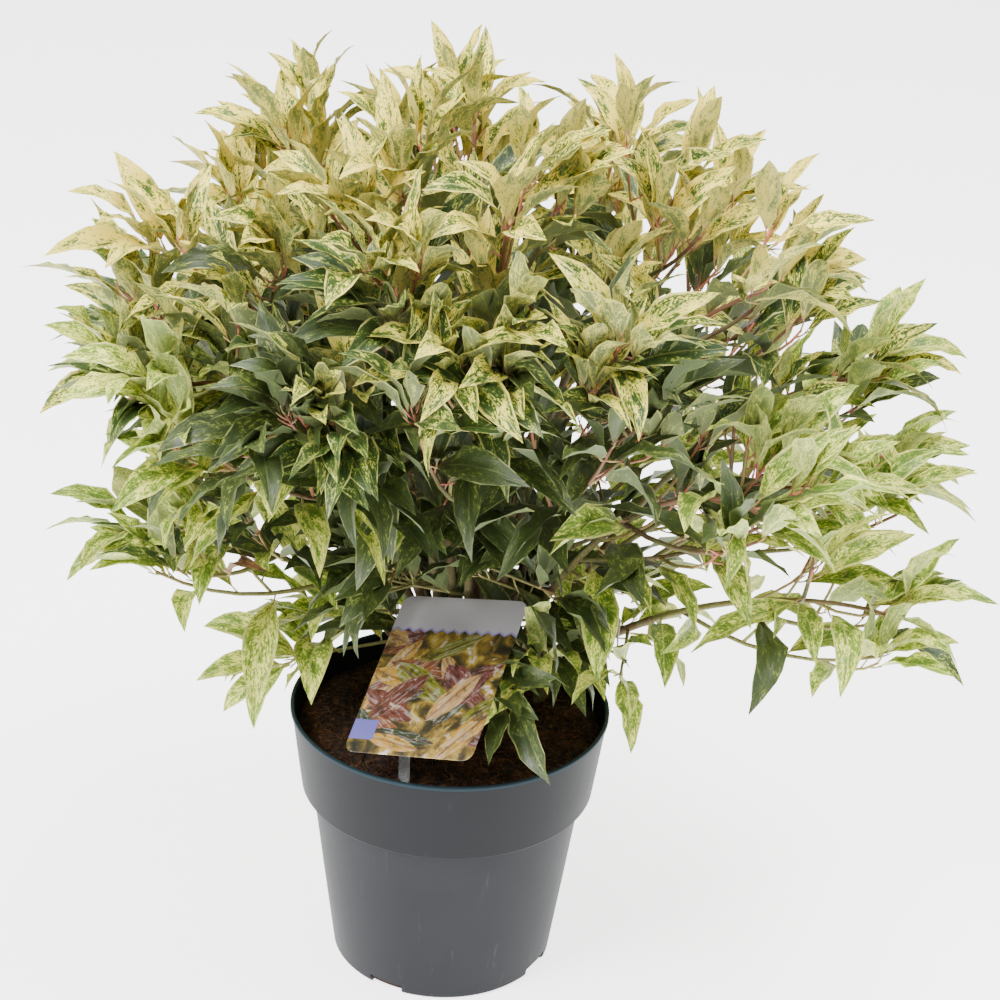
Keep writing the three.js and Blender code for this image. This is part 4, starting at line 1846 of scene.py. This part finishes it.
@dataclass(frozen=True)
class PotFinish:
    """Slate grey moulded plastic with a faint grain and scuffs, painted shade of the crown on the collar
    and a painted teal highlight on the rim.
    """

    sizes: PotSizes = PotSizes()
    dark: Colour = (0.0145, 0.0153, 0.0182)
    light: Colour = (0.0185, 0.0195, 0.0226)
    scuffed: Colour = (0.038, 0.04, 0.044)
    # Painted shade: this dark colour and its share stand for the crown's shadow on the collar.
    collar: Colour = (0.004, 0.0045, 0.0055)
    collar_shade_share: float = 0.6
    # Painted highlight: the teal colour on the top of the lip stands for a reflection on it.
    rim: Colour = (0.012, 0.024, 0.032)
    rim_from: float = 0.0032
    rim_highlight_until: float = 0.0024
    roughness: float = 0.42
    roughness_spread: float = 0.16

    def build(self) -> Material:
        """Makes the material.

        Returns:
            The material.
        """
        shader = Shader("pot_plastic", 0.5, 0.11)
        place_on = shader.place_of()
        clouds = shader.noise(place_on, 14.0, 3.0, 0.55)
        grain = shader.noise(place_on, 1400.0, 2.0, 0.5)
        scuffs = shader.noise(shader.stretched(place_on, (1.0, 1.0, 0.15)), 90.0, 4.0, 0.7)
        colour = shader.blend(shader.step(clouds, 0.3, 0.7), self.dark, self.light)
        colour = shader.blend(shader.step(scuffs, 0.62, 0.8), colour, self.scuffed)
        height = shader.split(place_on)[2]
        # Painted shade: everything above the step to the collar is darkened as if the crown's shadow fell
        # on it.
        collar = shader.step(height, self.sizes.collar_height - 0.001, self.sizes.collar_height)
        colour = shader.blend(shader.times(collar, self.collar_shade_share), colour, self.collar)
        # Painted highlight: the top few millimetres of the rim turn teal, as if lit.
        top = self.sizes.rim_height
        rim = shader.step(height, top - self.rim_from, top - self.rim_highlight_until)
        colour = shader.blend(rim, colour, self.rim)
        shader.colour(colour)
        shader.roughness(shader.plus(self.roughness, shader.times(clouds, self.roughness_spread)))
        shader.bump(shader.plus(grain, shader.times(scuffs, 1.5)), 0.25, 0.0002)
        return shader.material


@dataclass
class Pot:
    """The nursery pot, turned finely at the frame's own sizes."""

    sizes: PotSizes = PotSizes()
    finish: PotFinish = PotFinish()
    facets: int = 144
    fillet: float = 0.0008
    drains: int = 4
    drain_azimuth: float = 62.0
    drain_width: float = 0.024
    drain_height: float = 0.007
    drain_inner: float = 0.062
    drain_outer: float = 0.08
    sharp_from: float = 28.0

    def outline(self) -> list[Pair]:
        """Lists the wall's outline, from the underside's centre round to the inside's.

        Returns:
            Its corners as radius and height.
        """
        s = self.sizes
        inner_step = s.collar_height + s.wall
        lip = s.rim_height - s.lip_height
        bead = s.rim_radius + s.lip_depth
        middle = mix(s.collar_height, lip, 0.5)
        return [
            (0.0, 0.0),
            (s.base_radius - s.base_chamfer, 0.0),
            (s.base_radius, s.base_chamfer),
            (mix(s.base_radius, s.waist_radius, 0.5), s.waist_height / 2),
            (s.waist_radius, s.waist_height),
            (s.collar_radius - self.fillet, s.collar_height - self.fillet * 0.3),
            (s.collar_radius, s.collar_height + self.fillet),
            (s.outer_radius(middle), middle),
            (s.outer_radius(lip), lip),
            (bead, lip + s.lip_depth),
            (bead, s.rim_height - self.fillet),
            (bead - self.fillet * 0.4, s.rim_height - self.fillet * 0.3),
            (bead - self.fillet, s.rim_height),
            (s.rim_radius - s.wall + self.fillet * 0.6, s.rim_height),
            (s.rim_radius - s.wall, s.rim_height - self.fillet * 0.6),
            (s.inner_radius(inner_step), inner_step),
            (s.waist_radius - s.wall, s.waist_height + s.wall),
            (s.inner_radius(s.base_thickness), s.base_thickness),
            (0.0, s.base_thickness),
        ]

    def cutters(self) -> bpy.types.Object:
        """Makes the boxes that cut the drain notches.

        Returns:
            The boxes as one object.
        """
        bm = bmesh.new()
        length = self.drain_outer - self.drain_inner
        for index in range(self.drains):
            turn = Matrix.Rotation(math.radians(self.drain_azimuth + index * 360 / self.drains), 4, "Z")
            move = Matrix.Translation((self.drain_inner + length / 2, 0, 0))
            size = Matrix.Diagonal((length, self.drain_width, 2 * self.drain_height, 1))
            bmesh.ops.create_cube(bm, size=1.0, matrix=turn @ move @ size)
        return object_from("drain_cutters", mesh_from("drain_cutters", bm, False), [])

    def build(self) -> None:
        """Turns the outline, cuts the drain notches and dresses the pot."""
        shell = mesh_from("pot_shell", turned(self.outline(), self.facets))
        pot = object_from("pot_shell", shell, [self.finish.build()])
        cutters = self.cutters()
        cut = pot.modifiers.new("drains", "BOOLEAN")
        cut.operation = "DIFFERENCE"
        cut.solver = "EXACT"
        cut.object = cutters
        graph = bpy.context.evaluated_depsgraph_get()
        whole = bpy.data.meshes.new_from_object(pot.evaluated_get(graph))
        pot.modifiers.clear()
        pot.data = whole
        bpy.data.objects.remove(cutters)
        whole.set_sharp_from_angle(angle=math.radians(self.sharp_from))
        place(pot, ["pot"])


@dataclass(frozen=True)
class SoilFinish:
    """A crumbly, matte finish in three browns."""

    name: str
    dark: Colour
    light: Colour
    red: Colour
    red_share: float = 0.6

    def build(self) -> Material:
        """Makes the material.

        Returns:
            The material.
        """
        shader = Shader(self.name, 0.9, 0.2)
        place_on = shader.place_of()
        crumbs = shader.noise(place_on, 260.0, 5.0, 0.7)
        patches = shader.noise(place_on, 40.0, 3.0, 0.6)
        colour = shader.blend(shader.step(crumbs, 0.42, 0.64), self.dark, self.light)
        reddened = shader.times(shader.step(patches, 0.5, 0.66), self.red_share)
        shader.colour(shader.blend(reddened, colour, self.red))
        shader.bump(crumbs, 0.9, 0.002)
        return shader.material


PEAT = SoilFinish("peat", (0.012, 0.007, 0.005), (0.045, 0.024, 0.015), (0.07, 0.03, 0.015))
PEAT_FIBRE = SoilFinish("peat_fibre", (0.05, 0.02, 0.01), (0.15, 0.065, 0.028), (0.2, 0.08, 0.03))
BARK_CHIP = SoilFinish("bark_chip", (0.03, 0.014, 0.009), (0.1, 0.05, 0.027), (0.13, 0.06, 0.03))


@dataclass
class Soil:
    """The peat in the pot, with fibres and bits of bark lying on it."""

    pot: PotSizes = PotSizes()
    clump: ClumpSizes = ClumpSizes()
    rings: int = 44
    facets: int = 150
    relief: float = 0.0026
    crumbs_per_metre: float = 90.0
    mound: float = 0.0016
    mound_radius: float = 0.045
    mound_smooth: float = 0.6
    spot_margin: float = 0.006
    fibres: int = 900
    fibre_steps: int = 4
    fibre_length: Pair = (0.005, 0.017)
    fibre_radius: Pair = (0.00018, 0.00045)
    fibre_bend: float = 1.6
    fibre_lift: float = 0.0005
    fibre_arch: float = 0.0012
    fibre_margin: float = 0.002
    chips: int = 420
    chip_size: Pair = (0.0012, 0.0042)
    chip_length: Pair = (1.0, 2.2)
    chip_thickness: Pair = (0.25, 0.6)
    chip_tilt: float = 0.6
    chip_lift: float = 0.15
    chip_rough: float = 0.16

    def height(self, x: float, y: float) -> float:
        """Shapes the soil's crumbled surface.

        Args:
            x: How far right of the pot's centre.
            y: How far behind it.

        Returns:
            Its height there.
        """
        spot = (x * self.crumbs_per_metre, y * self.crumbs_per_metre, 3.0)
        coarse = noise.fractal(Vector(spot), 0.8, 2.1, 5)
        away = (x - self.clump.x) ** 2 + (y - self.clump.y) ** 2
        near = math.exp(-(away / self.mound_radius**2))
        crumbled = self.relief * coarse * (1 - self.mound_smooth * near)
        return self.pot.soil_top + crumbled + self.mound * near

    def bed(self) -> bpy.types.Mesh:
        """Makes the soil as a closed turned body with a crumbled top.

        Returns:
            Its mesh.
        """
        pot = self.pot
        gap = pot.gap
        floor = pot.base_thickness + gap
        step = pot.collar_height + pot.wall + gap
        edge = pot.inner_radius(pot.soil_top) - 2 * gap
        top = [(edge * i / self.rings, pot.soil_top) for i in range(self.rings + 1)]
        sides = [
            (pot.inner_radius(step) - 2 * gap, step + gap),
            (pot.waist_radius - pot.wall - 2 * gap, pot.waist_height + pot.wall + gap),
            (pot.inner_radius(floor) - 2 * gap, floor),
            (0.0, floor),
        ]
        bm = turned(top + sides, self.facets)
        for vert in bm.verts:
            if vert.co.z > pot.soil_top - gap:
                vert.co.z = self.height(vert.co.x, vert.co.y)
        return mesh_from("soil_bed", bm)

    def spot(self, random: SeededRandom) -> Pair:
        """Picks a place on the soil.

        Args:
            random: The stream of what lies there.

        Returns:
            The place.
        """
        radius = (self.pot.inner_radius(self.pot.soil_top) - self.spot_margin) * math.sqrt(random())
        turn = random.turn()
        return radius * math.cos(turn), radius * math.sin(turn)

    def build_fibres(self) -> None:
        """Scatters curved reddish fibres over the soil."""
        random = SeededRandom(FIBRE_SEED)
        inside = self.pot.inner_radius(self.pot.soil_top) - self.fibre_margin
        runs = []
        for _ in range(self.fibres):
            x, y = self.spot(random)
            heading, bend = random.turn(), random.between(-self.fibre_bend, self.fibre_bend)
            length = random.between(*self.fibre_length)
            path = []
            for i in range(self.fibre_steps + 1):
                arch = self.fibre_arch * math.sin(i * 0.8) * random()
                path.append((x, y, self.height(x, y) + self.fibre_lift + arch))
                x += math.cos(heading) * length / self.fibre_steps
                y += math.sin(heading) * length / self.fibre_steps
                heading += bend / self.fibre_steps
            if all(math.hypot(px, py) < inside for px, py, _ in path):
                radius = random.between(*self.fibre_radius)
                runs.append((np.array(path), radius, radius * 0.5))
        place(tubes("soil_fibres", runs, 3, [PEAT_FIBRE.build()]))

    def build_chips(self) -> None:
        """Scatters small flat bits of bark over the soil."""
        random = SeededRandom(CHIP_SEED)
        noise.seed_set(CHIP_SEED)
        bm = bmesh.new()
        for _ in range(self.chips):
            x, y = self.spot(random)
            size = random.between(*self.chip_size)
            spin = Matrix.Rotation(random.turn(), 4, "Z")
            tilt = Matrix.Rotation(random.between(-self.chip_tilt, self.chip_tilt), 4, "X")
            length = size * random.between(*self.chip_length)
            flat = Matrix.Diagonal((length, size, size * random.between(*self.chip_thickness), 1))
            move = Matrix.Translation((x, y, self.height(x, y) + size * self.chip_lift))
            matrix = move @ (spin @ tilt) @ flat
            chip = bmesh.ops.create_icosphere(bm, subdivisions=1, radius=0.5, matrix=matrix)
            for vert in chip["verts"]:
                vert.co += noise.noise_vector(vert.co * 900) * size * self.chip_rough
        chips = object_from("bark_chips", mesh_from("bark_chips", bm, False), [BARK_CHIP.build()])
        place(chips)

    def build(self) -> None:
        """Builds the soil and what lies on it."""
        place(object_from("soil_bed", self.bed(), [PEAT.build()]), ["soil"])
        self.build_fibres()
        self.build_chips()


@dataclass(frozen=True)
class Blade:
    """One printed leaf: its place, direction, half length, half width and ink."""

    x: float
    y: float
    turn: float
    length: float
    width: float
    ink: Colour


@dataclass(frozen=True)
class PrintFinish:
    """The card's print: a grey band with a violet zigzag and a square, and a leafy picture."""

    sizes: TagSizes = TagSizes()
    band: float = 0.765
    teeth: float = 11.0
    tooth_height: float = 0.045
    blade_count: int = 30
    blade_length: Pair = (0.15, 0.29)
    blade_width: Pair = (0.055, 0.11)
    inks: tuple[Colour, ...] = (
        (0.12, 0.035, 0.022),
        (0.36, 0.2, 0.025),
        (0.2, 0.065, 0.02),
        (0.15, 0.15, 0.015),
        (0.14, 0.045, 0.04),
        (0.38, 0.22, 0.07),
        (0.025, 0.035, 0.014),
    )
    ground: tuple[tuple[float, Colour], ...] = (
        (0.34, (0.012, 0.012, 0.008)),
        (0.44, (0.05, 0.04, 0.015)),
        (0.52, (0.16, 0.1, 0.02)),
        (0.6, (0.34, 0.24, 0.05)),
        (0.68, (0.6, 0.53, 0.5)),
    )
    shade: Colour = (0.02, 0.012, 0.008)
    shine: Colour = (0.56, 0.45, 0.34)
    rib: Colour = (0.08, 0.025, 0.03)
    grey: tuple[Colour, Colour] = ((0.4, 0.375, 0.43), (0.52, 0.49, 0.54))
    violet: Colour = (0.2, 0.18, 0.46)
    square: Colour = (0.11, 0.1, 0.34)
    square_right: float = 0.19
    square_top: float = 0.2
    square_foot: float = 0.08

    def blades(self) -> list[Blade]:
        """Deals out the printed leaves.

        Returns:
            The leaves.
        """
        random = SeededRandom(PRINT_SEED)
        blades = []
        for index in range(self.blade_count):
            x, y = random.between(0.02, 0.98), random.between(0.02, 0.74)
            turn = random.between(0.2, 1.1) + math.pi * (index % 2) * 0.62
            length, width = random.between(*self.blade_length), random.between(*self.blade_width)
            blades.append(Blade(x, y, turn, length, width, self.inks[index % len(self.inks)]))
        return blades

    def add_blade(self, shader: Shader, place_on: Socket, under: Socket, blade: Blade) -> Socket:
        """Prints one leaf over what lies under it.

        Args:
            shader: The card's shader.
            place_on: The print's coordinates.
            under: The colour under the leaf.
            blade: The leaf.

        Returns:
            The colour with the leaf on it.
        """
        aspect = self.sizes.height / self.sizes.width
        split = shader.split(place_on)
        dx = shader.minus(split[0], blade.x)
        dy = shader.times(shader.minus(split[1], blade.y), aspect)
        cos, sin = math.cos(blade.turn), math.sin(blade.turn)
        ahead_x = shader.times(dx, cos / blade.length)
        ahead = shader.plus(ahead_x, shader.times(dy, sin / blade.length))
        side_x = shader.times(dx, -sin / blade.width)
        side = shader.plus(side_x, shader.times(dy, cos / blade.width))
        aside = shader.math("ABSOLUTE", side)
        taper = shader.minus(1.0, shader.times(ahead, ahead))
        inside = shader.step(shader.minus(taper, aside), -0.02, 0.1)
        streak = shader.joined(ahead, side, blade.x * 40.0)
        marks = shader.noise(shader.stretched(streak, (1.2, 2.6, 1.0)), 1.6, 3.0, 0.65, 0.5)
        pale = tuple(mix(part, 0.5, 0.3) for part in blade.ink)
        tint = shader.blend(shader.step(marks, 0.5, 0.6), blade.ink, pale)
        dark = tuple(part * 0.35 for part in blade.ink)
        tint = shader.blend(shader.step(marks, 0.44, 0.36), tint, dark)
        rib = shader.minus(1.0, shader.step(aside, 0.04, 0.16))
        tint = shader.blend(shader.times(rib, 0.6), tint, self.rib)
        return shader.blend(inside, under, tint)

    def picture(self, shader: Shader, place_on: Socket) -> Socket:
        """Prints the leafy picture: a blurred ground, leaves over it, then shade and shine.

        Args:
            shader: The card's shader.
            place_on: The print's coordinates.

        Returns:
            The picture's colour.
        """
        clouds = shader.noise(shader.stretched(place_on, (1.0, 1.33, 1.0)), 5.0, 3.0, 0.6, 0.6)
        pattern = shader.ramp(clouds, self.ground)
        for blade in self.blades():
            pattern = self.add_blade(shader, place_on, pattern, blade)
        depth = shader.noise(shader.stretched(place_on, (1.0, 1.33, 1.0)), 9.0, 4.0, 0.65, 0.4)
        pattern = shader.blend(shader.times(shader.step(depth, 0.5, 0.66), 0.8), pattern, self.shade)
        return shader.blend(shader.times(shader.step(depth, 0.4, 0.3), 0.75), pattern, self.shine)

    def build(self) -> Material:
        """Makes the material.

        Returns:
            The material.
        """
        shader = Shader("tag_print", 0.36, 0.25)
        place_on = shader.map_of("print")
        across, upward = shader.split(place_on)[:2]
        pattern = self.picture(shader, place_on)
        wave = shader.math("PINGPONG", shader.times(across, self.teeth), 0.5)
        line = shader.minus(shader.minus(upward, shader.times(wave, self.tooth_height)), self.band)
        band = shader.blend(shader.step(upward, self.band, 1.0), *self.grey)
        colour = shader.blend(shader.step(line, -0.001, 0.001), pattern, band)
        stripe = shader.minus(shader.step(line, -0.002, 0.0), shader.step(line, 0.012, 0.014))
        colour = shader.blend(shader.times(stripe, 0.8), colour, self.violet)
        left = shader.math("LESS_THAN", across, self.square_right)
        low = shader.math("LESS_THAN", upward, self.square_top)
        above = shader.math("GREATER_THAN", upward, self.square_foot)
        square = shader.times(shader.times(left, low), above)
        shader.colour(shader.blend(square, colour, self.square))
        return shader.material


@dataclass(frozen=True)
class StakeFinish:
    """Clear plastic with a faint haze."""

    tint: Colour = (0.82, 0.86, 0.88)
    roughness: float = 0.16
    clearness: float = 0.75
    bending: float = 1.46

    def build(self) -> Material:
        """Makes the material.

        Returns:
            The material.
        """
        shader = Shader("stake_clear", self.roughness, 0.5)
        shader.colour(self.tint)
        shader.surface.inputs["Transmission Weight"].default_value = self.clearness
        shader.surface.inputs["IOR"].default_value = self.bending
        haze = shader.noise(shader.place_of(), 320.0, 3.0, 0.6)
        shader.bump(haze, 0.2, 0.0003)
        return shader.material


@dataclass
class PlantTag:
    """The printed card, and the finish of its clear stake."""

    sizes: TagSizes = TagSizes()
    print_finish: PrintFinish = PrintFinish()
    stake_finish: StakeFinish = StakeFinish()
    corner_steps: int = 8
    soft_edge: float = 0.00022
    sharp_from: float = 40.0

    def outline(self) -> list[Pair]:
        """Rounds the card's corners.

        Returns:
            The outline's points.
        """
        sizes = self.sizes
        points = []
        for quarter, (sx, sy) in enumerate(((1, 1), (-1, 1), (-1, -1), (1, -1))):
            for i in range(self.corner_steps + 1):
                angle = math.pi / 2 * (quarter + i / self.corner_steps)
                x = sx * (sizes.width / 2 - sizes.corner) + sizes.corner * math.cos(angle)
                y = sy * (sizes.height / 2 - sizes.corner) + sizes.corner * math.sin(angle)
                points.append((x, y))
        return points

    def card(self) -> bpy.types.Mesh:
        """Makes the card with soft edges, and the map of its print.

        Returns:
            Its mesh.
        """
        sizes = self.sizes
        bm = bmesh.new()
        corners = [bm.verts.new((x, y, -sizes.thickness / 2)) for x, y in self.outline()]
        face = bm.faces.new(corners)
        grown = bmesh.ops.extrude_face_region(bm, geom=[face])["geom"]
        top = [item for item in grown if isinstance(item, bmesh.types.BMVert)]
        bmesh.ops.translate(bm, verts=top, vec=(0, 0, sizes.thickness))
        bmesh.ops.recalc_face_normals(bm, faces=bm.faces)
        rims = [edge for edge in bm.edges if abs(edge.verts[0].co.z - edge.verts[1].co.z) < 1e-6]
        bmesh.ops.bevel(
            bm, geom=rims, offset=self.soft_edge, segments=2, profile=0.5, affect="EDGES", material=-1
        )
        layer = bm.loops.layers.uv.new("print")
        for face in bm.faces:
            for loop in face.loops:
                co = loop.vert.co
                loop[layer].uv = (co.x / sizes.width + 0.5, co.y / sizes.height + 0.5)
        u, v, w = sizes.axes()
        turn = Matrix((u, v, w)).transposed().to_4x4()
        bmesh.ops.transform(bm, matrix=Matrix.Translation(sizes.centre) @ turn, verts=bm.verts)
        return mesh_from("tag_card", bm)

    def build(self) -> None:
        """Builds and dresses the card, and dresses the stake."""
        card = object_from("tag_card", self.card(), [self.print_finish.build()])
        card.data.set_sharp_from_angle(angle=math.radians(self.sharp_from))
        place(card, ["label_card"])
        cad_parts["label_stake"].material_slots[0].material = self.stake_finish.build()


@dataclass(frozen=True)
class PaperFinish:
    """A pale, matte floor that glows a little."""

    tint: Colour = (0.93, 0.93, 0.93)
    glow: float = 2.8

    def build(self) -> Material:
        """Makes the material.

        Returns:
            The material.
        """
        shader = Shader("floor_paper", 0.9, 0.1)
        shader.colour(self.tint)
        shader.surface.inputs["Emission Color"].default_value = WHITE
        shader.surface.inputs["Emission Strength"].default_value = self.glow
        return shader.material


@dataclass(frozen=True)
class Softbox:
    """A square lamp that faces the crown."""

    name: str
    at: Triple
    size: float
    power: float
    aim: Triple = (0, 0, 0.32)

    def build(self) -> None:
        """Makes the lamp and turns it."""
        lamp = bpy.data.lights.new(self.name, "AREA")
        lamp.size = self.size
        lamp.energy = self.power
        holder = bpy.data.objects.new(self.name, lamp)
        bpy.context.scene.collection.objects.link(holder)
        toward = Vector(self.aim) - Vector(self.at)
        turn = toward.to_track_quat("-Z", "Y").to_matrix().to_4x4()
        holder.matrix_world = Matrix.Translation(self.at) @ turn


@dataclass
class Studio:
    """The camera at the photograph's place, a pale floor and soft light."""

    camera_at: Triple = (0.0263, -1.438, 1.034)
    pitch: float = 25.99
    roll: float = 2.71
    lens: float = 91.5
    sensor: float = 36.0
    floor_size: float = 8.0
    paper: PaperFinish = PaperFinish()
    lamps: tuple[Softbox, ...] = (
        Softbox("softbox_left", (-1.3, -1.2, 1.9), 0.9, 84.0),
        Softbox("softbox_top", (0.5, -0.1, 2.2), 1.1, 74.0),
    )

    def camera(self) -> None:
        """Makes the camera and sets it as the scene's own."""
        data = bpy.data.cameras.new("camera")
        data.lens = self.lens
        data.sensor_width = self.sensor
        camera = bpy.data.objects.new("camera", data)
        bpy.context.scene.collection.objects.link(camera)
        pitch, roll = math.radians(self.pitch), math.radians(self.roll)
        ahead = Vector((0, math.cos(pitch), -math.sin(pitch)))
        level, upright = Vector((1, 0, 0)), Vector((0, math.sin(pitch), math.cos(pitch)))
        right = level * math.cos(roll) + upright * math.sin(roll)
        up = upright * math.cos(roll) - level * math.sin(roll)
        turn = Matrix((right, up, -ahead)).transposed().to_4x4()
        camera.matrix_world = Matrix.Translation(self.camera_at) @ turn
        bpy.context.scene.camera = camera

    def build(self) -> None:
        """Builds the floor, the lamps and the pale surroundings."""
        bm = bmesh.new()
        bmesh.ops.create_grid(bm, x_segments=1, y_segments=1, size=self.floor_size / 2)
        object_from("floor", mesh_from("floor", bm, False), [self.paper.build()])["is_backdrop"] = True
        world = bpy.data.worlds.new("studio")
        world.use_nodes = True
        background = world.node_tree.nodes["Background"]
        background.inputs["Color"].default_value = WHITE
        background.inputs["Strength"].default_value = 1.0
        bpy.context.scene.world = world
        for lamp in self.lamps:
            lamp.build()


def main() -> None:
    """Builds the plant piece by piece and writes how far it reaches."""
    studio = Studio()
    studio.camera()
    growth = Growth()
    canes = growth.canes()
    low = np.array(CAD_LOW) - REACH_MARGIN
    high = np.array(CAD_HIGH) + REACH_MARGIN
    foliage = Foliage(canes, Clearances(canes, growth.pot, growth.tag, low, high), leaf_forms())
    foliage.grow()
    LOG.info("%d sprays, %d leaves", len(foliage.sprays), len(foliage.leaves))
    cane_nodes = [f"cane_{cane.number:02d}" for cane in canes]
    mass_nodes = [f"foliage_{cane.number:02d}" for cane in canes]
    Pot().build()
    Soil().build()
    PlantTag().build()
    wood = Wood(foliage)
    wood.build_canes(cane_nodes)
    wood.build_twigs(mass_nodes)
    LeafPieces(foliage).build(mass_nodes)
    studio.build()
    low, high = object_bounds()
    LOG.info("frame %s %s, dressed %s %s", CAD_LOW, CAD_HIGH, low, high)


if __name__ == "__main__":
    logging.basicConfig(level=logging.INFO, format="%(name)s: %(message)s")
    main()
